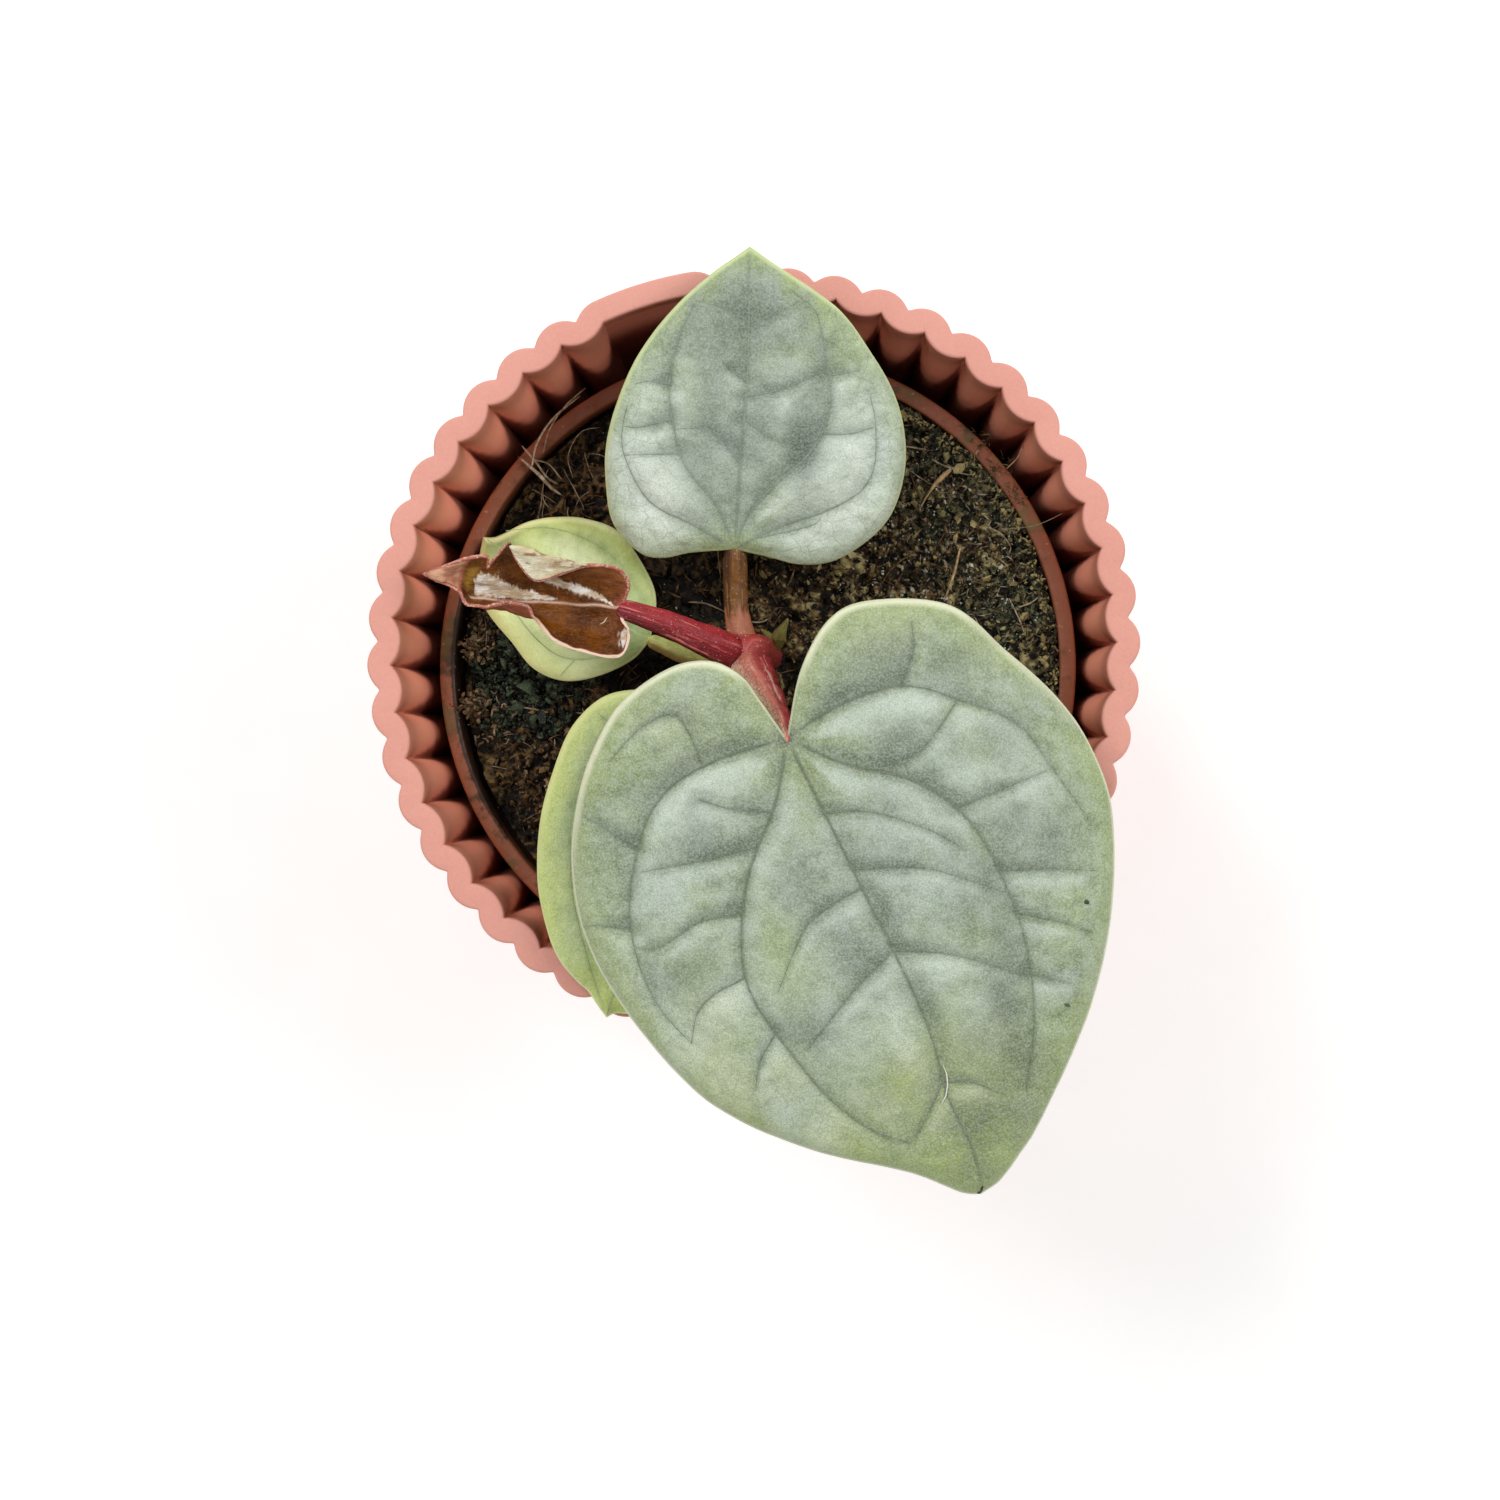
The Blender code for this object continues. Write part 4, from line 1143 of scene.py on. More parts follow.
# A leaf's outline, veins and patches lie in its own plane: millimetres from its stalk towards its tip, and
# across it to the left. A patch is (along, across, half length, half width, strength)
# On every leaf the bright patches are painted highlights and the dark patches are painted shade; the small
# leaf's lighter patches are a painted glow
LEAVES = {
    "leaf_front": {
        "base": (3.2, -7.6, 74.85),
        "tip": (20.3, -47.56, 70.0),
        "left": [(0, 0), (-5.0, 3.5), (-8.0, 7.5), (-8.0, 11.5), (-5.0, 17.5), (0.5, 20.5), (6, 23),
                 (11, 24), (17, 23.5), (25, 20), (32, 15), (39.3, 7.4), (41.5, 4.4), (42.6, 2.7),
                 (43.2, 1.5), (43.5, 0)],
        "right": [(0, 0), (-3.8, -0.8), (-6.5, -1.5), (-8.7, -3.5), (-9.5, -7), (-8.4, -12), (-5.5, -16),
                  (-2, -19), (2.5, -21.5), (8.5, -23), (15.5, -22.5), (24, -20), (29, -17), (34, -12),
                  (38.1, -6.4), (39.9, -4.2), (41.4, -2.8), (42.6, -1.7), (43.2, -0.8), (43.5, 0)],
        "bow": 1.3,
        "arch": 2.4,
        "droop": 4.0,
        "quilt": 1.1,
        "yellow": [(16.5, -7.6, 6.0, 1.9, 0.55), (31.6, -2.2, 3.0, 3.6, 1.0), (3.2, 0.2, 2.2, 0.7, 0.55),
                   (25.5, -16.6, 8, 3.6, 0.7), (41.5, 0, 4.5, 5, 0.45), (34, 0, 7, 10, 0.8),
                   (-6, 12, 3.5, 7, 0.55), (36, -9, 6, 3.4, 0.85), (19.5, -15.5, 5, 4.4, 0.45),
                   (26.6, -11.3, 2.8, 2.8, 0.6), (39.5, 0.5, 5.5, 7, 1.0), (-4, -8, 4, 5, 0.45),
                   (15, -21, 12, 2, 0.35), (-2, 18, 5, 3, 0.4)],
        "dark": [(37.2, 2.4, 2.8, 3.4, 0.36), (41, 0.6, 2.4, 2.6, 0.24), (16.1, 15.9, 2.0, 2.4, 0.22),
                 (30.7, 5.5, 2.0, 1.8, 0.2), (9.5, 6.0, 6, 4, 0.15), (34, 1, 6, 8, 0.1),
                 (0.0, 0.0, 1.2, 1.3, 0.55), (-3.1, 10, 2.0, 3.0, 0.28), (-0.1, 15.5, 2.2, 2.4, 0.28),
                 (7.0, 16.2, 2.0, 3.2, 0.28), (16.8, 17.4, 2.6, 2.4, 0.36), (8.3, 9.8, 3.2, 1.7, 0.28),
                 (17.7, 11.0, 4, 1.5, 0.36), (24.0, 10.2, 3.6, 1.6, 0.4), (32.9, 7.8, 4, 2.2, 0.4),
                 (37.7, 5.4, 3, 3, 0.3), (4, 8.9, 1.5, 2.8, 0.4), (12.4, -3.4, 5, 2, 0.26),
                 (4.8, -10, 2, 2.4, 0.24), (19.9, 8.4, 3, 2, 0.3), (28.8, 8.3, 4.5, 1.6, 0.4),
                 (14.5, 14.4, 2.4, 2.8, 0.32), (3, -16.9, 3, 1.6, 0.22), (24, -8.4, 2, 2.4, 0.34),
                 (15.5, -15.4, 1.6, 2.6, 0.26), (19.6, -1.6, 2.4, 2.2, 0.34), (23.2, 10.1, 2.5, 1.5, 0.28),
                 (34.5, 7, 3, 3.5, 0.3), (-1.8, 5.5, 1.2, 3.5, 0.2), (9, 1.6, 2, 0.9, 0.15),
                 (16.8, 1.9, 3.2, 1.1, 0.34), (26.4, 2.2, 3, 1.1, 0.3), (5.6, 13.0, 2.4, 1.2, 0.24),
                 (14.2, 9.6, 2.6, 1.2, 0.24)],
        "bright": [(5.5, 2.8, 2.4, 1.2, 0.36), (23.1, -6.0, 2.4, 2.4, 0.36), (32.4, -10.5, 2.4, 2.0, 0.7),
                   (1.6, 12.4, 1.9, 4.2, 0.6), (6.1, 17.4, 2.4, 2.2, 0.36), (9, 13.2, 2.0, 2.6, 0.5),
                   (12, 18.2, 2.6, 2, 0.32), (10.9, 7.0, 1.8, 3.6, 0.4), (16.4, 7.3, 1.8, 3.6, 0.34),
                   (23.5, 4.2, 2.0, 3.4, 0.55), (27.6, 5.2, 3, 2.2, 0.32), (27.6, -0.9, 4.6, 1.5, 0.75),
                   (0.4, -8.2, 1.6, 3.4, 0.44), (2.4, -12.2, 2.2, 2, 0.44), (8.7, -15.2, 1.9, 3, 0.48),
                   (12.4, -14, 1.8, 2.4, 0.28), (18.7, -13.4, 2.4, 3.2, 0.8), (26.9, -4.8, 2.6, 2.4, 0.36),
                   (-4.9, -10.3, 1.6, 3.2, 0.34), (26, -10.6, 4.4, 1.9, 0.52), (31.5, -6.6, 3, 1.4, 0.34),
                   (34.4, 3.2, 1.4, 1.6, 0.3), (7.2, -2.6, 3.6, 1.0, 0.22), (20.0, 16.5, 6, 2.2, 0.18),
                   (20.6, -17.6, 4.0, 3.0, 0.8), (25, -16.4, 3.4, 2.2, 0.65), (29.5, -13.0, 3.4, 1.8, 0.6),
                   (33.3, -10.2, 2.4, 1.8, 0.5), (33.0, -4.6, 2.6, 1.6, 0.45), (25.9, -6.4, 1.6, 2.2, 0.4),
                   (28.7, -0.6, 3.0, 0.9, 0.35), (0.9, -16.5, 2.0, 1.6, 0.3), (11.4, -20.4, 2.6, 1.4, 0.35),
                   (-5.5, -8, 3.5, 5, 0.2), (-4.5, 12, 4, 6, 0.2), (15, -21, 12, 1.8, 0.18)],
        "lift": [(12, 0.7, 13, 2.6, -0.45), (30, 0.9, 9, 2.4, -0.4), (1.0, 9.5, 2.6, 3.8, 0.1),
                 (3.4, -9.0, 3.0, 4.0, 0.25), (23, 5.5, 2.6, 2.6, 0.25), (28, 5.0, 2.8, 3.0, 0.3)],
        "main": [
            [(0, 0), (11, 0.7), (21, 1.3), (28, 1.4), (34, 0.6), (39.5, 0.8), (42.5, 0.3)],
            [(0, 0), (4.2, 3.9), (7.6, 8.6), (13, 11.7), (19.3, 12.3), (24.7, 11.9), (30.7, 10.1),
             (36, 7.2)],
            [(0, 0), (5, -3.2), (8.7, -7), (13.6, -10), (18.7, -11.5), (24.4, -10.5), (30.2, -8.8),
             (35, -6), (36.5, -4)],
            [(0, 0), (-0.8, 5.2), (-0.3, 10.8), (2.6, 14.6), (6.6, 18.7), (11.7, 20.1), (17.2, 21.3)],
            [(0, 0), (-0.6, -6.3), (0.3, -11.7), (3.8, -15.6), (9.5, -18.8), (16, -19.5), (21, -18)],
        ],
        "cross": [
            [(12.6, 0.9), (13.7, 4), (15.4, 7.3), (19.6, 12.1)],
            [(20.4, 1.3), (21.9, 4.6), (23.6, 7.1), (27, 10.9)], [(32.7, 0.8), (33.6, 3), (35.4, 4.8)],
            [(14.3, 0.9), (14.7, -2.6), (15.7, -5.1), (19.7, -9.2)],
            [(20.3, 1.2), (21.7, -2.3), (23.1, -5), (25.3, -8.8)], [(7.4, -7), (6.9, -10.3), (5.7, -16.1)],
            [(12.3, -9.6), (11.6, -13.2), (12.3, -17.2), (11.6, -19)],
            [(17.6, -11.5), (17.8, -14.2), (18.8, -16.4), (21.1, -18)],
            [(23.1, -11), (24.8, -13.1), (26.8, -14.4)], [(2.9, 14.6), (4.8, 11.6), (5.6, 9.5), (5.5, 6.4)],
            [(-0.3, 10.8), (-2.6, 12.9), (-5, 13.8)], [(11.2, 11.2), (11.3, 15.3), (11.4, 19.9)],
            [(17.7, 12.4), (19.3, 16.5), (21, 20)], [(21.7, 12.4), (23.8, 15.4), (25.8, 17.6)],
            [(26.9, 11.2), (29, 14.1)],
            [(-0.8, -7.6), (-3.5, -7.5), (-5.7, -8.2), (-5.7, -11.2), (-4.2, -14.7)],
            [(3.9, -15.6), (0.6, -17.8), (-0.8, -18.9)], [(10, -18.9), (8.6, -21.3), (8.1, -22.8)],
            [(2, -8.9), (3.9, -6.5), (5.3, -3.8)], [(32.5, 0.8), (34.5, -1.3), (36.2, -3.4)],
            [(7.2, 0.4), (8.6, 4.1), (12.1, 8.2), (14.8, 10.3)],
        ],
    },
    "leaf_back": {
        "base": (-1.6, 9.5, 63.0),
        "tip": (-0.1, 35.8, 69.0),
        "left": [(0, 0), (-0.5, 4), (-1.1, 6.5), (-0.7, 8.7), (1.8, 11.2), (5.5, 12), (9, 12), (13, 11),
                 (17, 9.2), (21, 6.2), (24, 3), (26.3, 0)],
        "right": [(0, 0), (-0.5, -3), (-1, -6), (-0.5, -9), (1.5, -12), (4, -14), (7.5, -14.9), (11, -14.7),
                  (14.5, -13.5), (18, -11.1), (21.5, -8), (24.5, -3), (26.3, 0)],
        "bow": -0.3,
        "arch": 0.8,
        "droop": 1.0,
        "quilt": 0.75,
        "yellow": [(25.8, 0, 1.6, 2.2, 0.9), (23.6, 3.4, 2.2, 1.0, 0.7), (23.6, -3.9, 2.2, 1.0, 0.8),
                   (21.4, 6.1, 2.2, 0.9, 0.5), (21.8, -6.8, 2.4, 1.0, 0.6), (0.3, 0, 1.2, 2.0, 0.45),
                   (13.4, 4.2, 2.6, 1.3, 0.22)],
        "dark": [(11.5, -1.8, 6.5, 2.2, 0.38), (9.5, -5.6, 3.8, 1.9, 0.6), (12, 2.8, 7, 2.0, 0.38),
                 (19.5, 0, 4.4, 5.4, 0.44), (15, -6.6, 4, 1.8, 0.34), (17.2, 2.4, 3, 1.8, 0.26),
                 (8, 3.6, 2.4, 2, 0.26), (14.2, -3.8, 1.2, 2.4, 0.26)],
        "bright": [(0.8, -7.2, 2.0, 3.6, 0.7), (3.4, 7.4, 4.6, 3.6, 1.0), (6.8, 9.4, 4.0, 3.0, 0.85),
                   (4.4, -10.0, 4.4, 4.6, 0.9), (8.4, -11.4, 3.6, 3.4, 0.8), (3.2, -5.6, 2.0, 3.0, 0.55),
                   (11.5, 9, 3, 2.2, 0.5), (12.5, -11, 3, 2.4, 0.5), (12.8, 3.8, 1.9, 1.9, 0.4),
                   (11.6, -2.8, 1.7, 1.8, 0.4), (15.6, -2.0, 1.2, 1.3, 0.25)],
        "lift": [(12, -0.2, 13, 1.8, -0.5), (2.0, 7.0, 3.5, 4.0, 0.25), (3.5, -9.0, 3.5, 4.0, 0.25)],
        "main": [
            [(0, 0), (10, -0.2), (13.3, -0.4), (19.4, -0.3), (25.5, 0)],
            [(0, 0), (3.1, -1.1), (6.7, -4.2), (9.4, -6.8), (13.3, -7.9), (16.7, -7.3), (20.8, -6.2),
             (22.5, -4)],
            [(0, 0), (3.7, 1.8), (6.9, 4.7), (10.1, 5.9), (14, 6.5), (17.7, 5.9), (21, 4.6)],
            [(0, 0), (2.1, -3.8), (4.1, -8.7), (6.7, -11.8), (10.9, -12.1), (14, -11.4)],
            [(0, 0), (1.9, 3.8), (3.9, 8), (8.4, 10.5), (12, 10.2)],
        ],
        "cross": [
            [(13.3, -0.4), (14.1, -3.6), (15.9, -7.3)], [(14.6, -0.4), (15.5, 1), (16.2, 1.9)],
            [(19.6, -0.3), (20.6, 1.3), (21.1, 3.5)], [(19.6, -0.3), (20.4, -2.4), (21.7, -4.7)],
            [(7.5, -0.1), (9.5, 1.6), (10.3, 3), (10.2, 5.8)], [(8.1, 5.2), (7.7, 10.2)],
            [(15.5, -7.5), (16.1, -10.3)], [(10.5, -7.3), (10.6, -9.7), (11.3, -11.9)],
            [(11, 6.2), (10.2, 9), (10.2, 10.4)], [(14, 6.4), (14.2, 8.3), (13.9, 9.6)],
            [(11.3, -0.3), (9.7, -3.1), (9.3, -5.4)], [(1.1, -2.2), (2.5, -6.9), (3.3, -7.6)],
        ],
    },
    "leaf_side": {
        "base": (-4.6, -6.2, 66.0),
        "tip": (-13.0, -32.6, 66.5),
        "left": [(0, 0), (-1.5, 4), (0, 8.5), (3.5, 10.5), (8, 11), (13, 10.5), (18, 8.5), (22, 6),
                 (25.3, 3.6), (26.7, 2.0), (27.1, 0.7), (27.7, 0)],
        "right": [(0, 0), (-1.5, -4), (0, -8.5), (3.5, -10.8), (8, -11.3), (13, -11), (18, -9.6),
                  (22, -7.4), (24.1, -5.6), (25.5, -3.4), (26.0, -2.3), (27.0, -1.0), (27.7, 0)],
        "bow": 0.0,
        "arch": 0.4,
        "droop": 0.5,
        "quilt": 0.6,
        "yellow": [(8, -11, 12, 2.6, 0.6), (20, -8, 8, 2.6, 0.6), (27, 0, 3, 3, 0.7)],
        "bright": [(6.5, -8.8, 3.0, 1.3, 0.4), (14.5, -7.4, 4.0, 1.2, 0.3), (12, -5.0, 11, 1.8, 0.65)],
        "silver": [(12, -7.0, 12, 3.2, 0.9)],
        "main": [
            [(0, 0), (14, 0.4), (27, 0)],
            [(0, 0), (1, -4.5), (5, -7.8), (11, -8.4), (17.6, -6.4), (23, -3.2), (26.5, -0.8)],
            [(0, 0), (1, 4.5), (5, 7.4), (11, 7.6), (17.6, 5.6), (23, 2.8)],
        ],
        "cross": [[(3, -6.4), (2, -9)]],
    },
    "leaf_small": {
        "base": (-9.7, 1.5, 57.0),
        "tip": (-25.5, 11.3, 56.0),
        "left": [(0, 0), (0.5, 2.5), (2.5, 5.5), (5, 7.5), (8, 8), (11, 7), (15, 5.5), (17.5, 2.5),
                 (18.6, 0)],
        "right": [(0, 0), (1.5, -3.5), (4, -5.5), (8, -7.1), (11.5, -6.4), (13.8, -5.1), (15.3, -3.85),
                  (16.2, -2.75), (17.0, -1.4), (17.7, -0.5), (18.6, 0)],
        "bow": 0.0,
        "arch": 0.4,
        "droop": 0.5,
        "quilt": 0.6,
        "silvered": 0.25,
        "painted_glow": [(9, 6.5, 7, 3.2, 0.9)],
        "yellow": [(11.5, 6.6, 6, 1.9, 0.9), (13.5, -5.2, 5, 1.4, 0.6), (17.5, 0, 3.2, 3, 0.8)],
        "dark": [(3.2, -5.0, 2.6, 1.8, 0.24), (2.4, 0.4, 3.2, 4.0, 0.34), (13.5, -3.6, 4, 0.7, 0.16),
                 (17.0, -0.6, 2.2, 2.6, 0.45), (11.5, -6.0, 5, 1.2, 0.16)],
        "bright": [(9.4, -3.2, 2.6, 1.1, 0.6), (10, 6.0, 6, 3.2, 0.95), (4.5, 6.0, 3.5, 3.0, 0.85)],
        "silver": [(2.5, -2.0, 4, 3.6, 1.0), (9.2, -3.0, 3.2, 1.5, 1.4), (4.5, 5.0, 3.6, 1.8, 0.9),
                   (2.0, 3.0, 2, 2.6, 0.5)],
        "main": [
            [(0, 0), (9, 0.3), (18, 0)],
            [(0, 0), (3, -3.2), (8, -4.9), (13, -4.2), (17, -1.6)],
            [(0, 0), (2.5, 3.2), (6, 5.6), (10, 5.2), (15, 3)],
        ],
        "cross": [[(5, 5.2), (5.4, 7.2)]],
    },
}


def distance_to_line(spots, points):
    """Each spot's distance to a line of points, and how far along it the nearest point is, 0 to 1."""
    best = np.full(len(spots), 1.0)
    share = np.zeros(len(spots))
    count = len(points) - 1
    for k, (a, b) in enumerate(zip(points, points[1:])):
        way = b - a
        t = np.clip(((spots - a) @ way) / (way @ way), 0, 1)
        away = np.hypot(*(spots - a - t[:, None] * way).T)
        nearer = away < best
        best[nearer] = away[nearer]
        share[nearer] = (k + t[nearer]) / count
    return best, share


def soft_spots(leaf, kind, spots):
    """The strongest of a leaf's soft round patches of one kind at each spot."""
    total = np.zeros(len(spots))
    for along, across, long, wide, strength in leaf.get(kind, ()):
        away = ((spots[:, 0] * 1000 - along) / long) ** 2 + ((spots[:, 1] * 1000 - across) / wide) ** 2
        total = np.maximum(total, strength * np.exp(-away))
    return total


def off_stalk(spots, near, far):
    """0 beside the stalk, 1 farther out on the leaf."""
    return smooth_step(np.hypot(*spots.T), near, far)


class Blade:
    """A leaf's blade: its outline, its height anywhere, and the values its material reads."""

    def __init__(self, name, rows):
        self.leaf = LEAVES[name]
        self.base, self.tip = mm(self.leaf["base"]), mm(self.leaf["tip"])
        ahead = (self.tip - self.base) * (1, 1, 0)
        self.length = np.linalg.norm(ahead)
        self.ahead = ahead / self.length
        self.aside = np.array([-self.ahead[1], self.ahead[0], 0])
        self.half_width = max(abs(p[1]) for p in self.leaf["left"] + self.leaf["right"]) * 0.001
        self.rows = rows
        self.margins = [smooth_line(mm(self.leaf[side]), rows) for side in ("left", "right")]
        self.outline = np.vstack([self.margins[0], self.margins[1][::-1]])
        share = (np.arange(rows + 1) / rows) ** 1.5
        bow = self.leaf["bow"] * 0.001
        self.rib = np.stack([self.length * share, bow * np.sin(math.pi * share)], 1)
        self.veins = [(kind, k, smooth_line(mm(points), 30)) for kind in ("main", "cross")
                      for k, points in enumerate(self.leaf[kind])]

    def flat(self, u, v):
        """A spot on the flat outline, u across from one margin to the other, v from stalk to tip."""
        row = np.rint(v * self.rows).astype(int)
        out = 2 * u - 1
        edge = np.where((out < 0)[:, None], self.margins[0][row], self.margins[1][row])
        return self.rib[row] + np.abs(out)[:, None] * (edge - self.rib[row])

    def veined(self, spots):
        """How dark a vein is, how dark the painted shade along it is, and how high the pillows between the
        veins rise.
        """
        vein, valley = np.zeros(len(spots)), np.zeros(len(spots))
        nearest = {"main": np.full(len(spots), 1.0), "cross": np.full(len(spots), 1.0)}
        for kind, k, line in self.veins:
            away, share = distance_to_line(spots, line)
            main = kind == "main"
            fade = (1.0 if main and k < 3 else 0.82 if main else 0.66) * (1 - 0.6 * share**2)
            fade = fade * off_stalk(spots, 0.0003, 0.0022)
            wide = 1.7 if main and k == 0 else 1.0
            vein = np.maximum(vein, fade * bump_of(away, 0.00016))
            valley = np.maximum(valley, fade * bump_of(away, (0.00045 + 0.00030 * fade) * wide))
            nearest[kind] = np.minimum(nearest[kind], away + 0.0012 * share**2)
        ribs = 0.25 * (1 - bump_of(nearest["main"], 0.0012)) + 0.45 * (1 - bump_of(nearest["main"], 0.0048))
        return vein, valley, ribs + 0.20 * (1 - bump_of(nearest["cross"], 0.0010))

    def fields(self, spots, margin=None):
        """What the material reads at each spot, and the relief between the veins."""
        vein, valley, pillow = self.veined(spots)
        if margin is None:
            margin, _ = distance_to_line(spots, self.outline)
        along = spots[:, 0] / self.length
        silver = smooth_step(margin, 0.0015, 0.0085) * (1 - 0.95 * smooth_step(along, 0.58, 0.90))
        silver *= self.leaf.get("silvered", 1.0)
        # Painted light and shade: how far each spot's slope turns towards the light
        toward_light = np.array([LIGHT_SIDE @ self.ahead, LIGHT_SIDE @ self.aside])
        rise = pillow - self.veined(spots + toward_light * 0.0009)[2]
        painted_slope_light = rise * 5.0 * smooth_step(margin, 0.0005, 0.0040)
        # The margin that faces the light, which gets a painted highlight
        lit_edge = (margin - distance_to_line(spots + toward_light * 0.0002, self.outline)[0]) / 0.0002
        relief = self.leaf["quilt"] * 0.001 * (pillow - 0.45) * smooth_step(margin, 0.0, 0.0040)
        relief += soft_spots(self.leaf, "lift", spots) * 0.001
        relief -= 0.00045 * (1 - smooth_step(margin, 0.0, 0.0016)) ** 2
        ground = np.column_stack([spots, np.zeros(len(spots))])
        relief += 0.00022 * rough(ground, 0.0045, 2, 3.0) + 0.00006 * rough(ground, 0.0012, 2, 5.0)
        values = {
            "vein": vein,
            "painted_slope_light": np.clip(painted_slope_light, -1, 1),
            "valley": valley,
            "margin": margin,
            "silver": np.clip(silver + soft_spots(self.leaf, "silver", spots), 0, 1),
            "rim": smooth_step(lit_edge, 0.15, 0.75) * off_stalk(spots, 0.0030, 0.0080),
        }
        for kind in ("yellow", "dark", "bright", "painted_glow"):
            values[kind] = soft_spots(self.leaf, kind, spots)
        return values, relief

    def placed(self, spots, margin, relief, side=1):
        """The spots in space, on the upper face (1) or the under face (-1), which meet in a thin edge."""
        along = spots[:, 0] / self.length
        inside = np.clip(along, 0, 1)
        height = (self.tip[2] - self.base[2]) * np.maximum(along, -0.05)
        height += self.leaf["arch"] * 0.004 * inside * (1 - inside)
        height -= self.leaf["droop"] * 0.001 * (spots[:, 1] / self.half_width) ** 2
        points = self.base + spots[:, :1] * self.ahead + spots[:, 1:] * self.aside
        points[:, 2] += height + relief + side * BLADE / 2 * rounded(margin, 0.0005)
        # Nothing rises above the part's own box: the last 0.4 mm below its top are flattened softly
        ceiling, soft = cad_box[1].z - 0.00006, 0.0004
        over = np.maximum(points[:, 2] - (ceiling - soft), 0)
        points[:, 2] += soft * (1 - np.exp(-over / soft)) - over
        return points

    def face(self, columns, side, finish):
        """The upper or the under face as a grid."""
        kept = {}

        def shape(u, v):
            spots = self.flat(u, v)
            margin, _ = distance_to_line(spots, self.outline)
            margin = np.where(np.abs(u - 0.5) > 0.4999, 0.0, margin)
            fields, relief = self.fields(spots, margin)
            kept.update(fields)
            return self.placed(spots, margin, relief, side)

        face = grid_piece(2 * columns, self.rows, shape, finish)
        store(face, **kept)
        return face

    def ribbons(self, finish):
        """The veins as thin flat strips that lie on the upper face and taper to nothing."""
        verts, faces, strength = [], [], []
        for kind, k, line in self.veins:
            main = kind == "main"
            line = smooth_line(line[::3], max(8, int(len(line) * (1.6 if main else 0.6))))
            way = np.gradient(line, axis=0)
            way /= np.linalg.norm(way, axis=1)[:, None]
            aside = np.stack([-way[:, 1], way[:, 0]], 1)
            share = np.linspace(0, 1, len(line))
            widest = 0.00017 if main and k == 0 else 0.00014 if main else 0.00009
            half = widest * (1 - 0.60 * share) * np.minimum(1, 0.35 + share * 12)
            rows = []
            for shift, lift in ((1, -0.00002), (0, 0.00004), (-1, -0.00002), (0, -0.00015)):
                spots = line + shift * half[:, None] * aside
                fields, relief = self.fields(spots)
                points = self.placed(spots, fields["margin"], relief)
                points[:, 2] += lift
                rows.append(points)
            first, count = sum(len(v) for v in verts), len(line)
            verts.append(np.concatenate(np.stack(rows, 1)))
            fade = (0.95 if main else 0.68) * (1 - 0.45 * share) * off_stalk(line, 0.0003, 0.0022)
            strength.append(np.repeat(fade, 4))
            for j in range(count - 1):
                a = first + 4 * j
                faces += [(a + q, a + 4 + q, a + 4 + (q + 1) % 4, a + (q + 1) % 4) for q in range(4)]
            last = first + 4 * (count - 1)
            faces += [(first, first + 1, first + 2, first + 3), (last + 3, last + 2, last + 1, last)]
        piece = mesh_piece("veins", np.vstack(verts).tolist(), faces, finish)
        everywhere = np.ones(len(piece.data.vertices))
        store(piece, vein=np.concatenate(strength), margin=0.01 * everywhere, silver=0.5 * everywhere,
              valley=everywhere)
        return piece


def make_blade(name, rows, columns, upper, under):
    """A blade with a fine upper face, a coarser under face, a thin rounded margin, and its veins."""
    blade = Blade(name, rows)
    faces = [blade.face(columns, 1, upper), blade.face(max(6, columns // 6), -1, under)]
    piece = join_and_merge(faces, MERGE)
    piece = join_and_merge([piece, blade.ribbons(upper)], 0.0000001)
    return finished(piece, name + "_blade", name, 60)


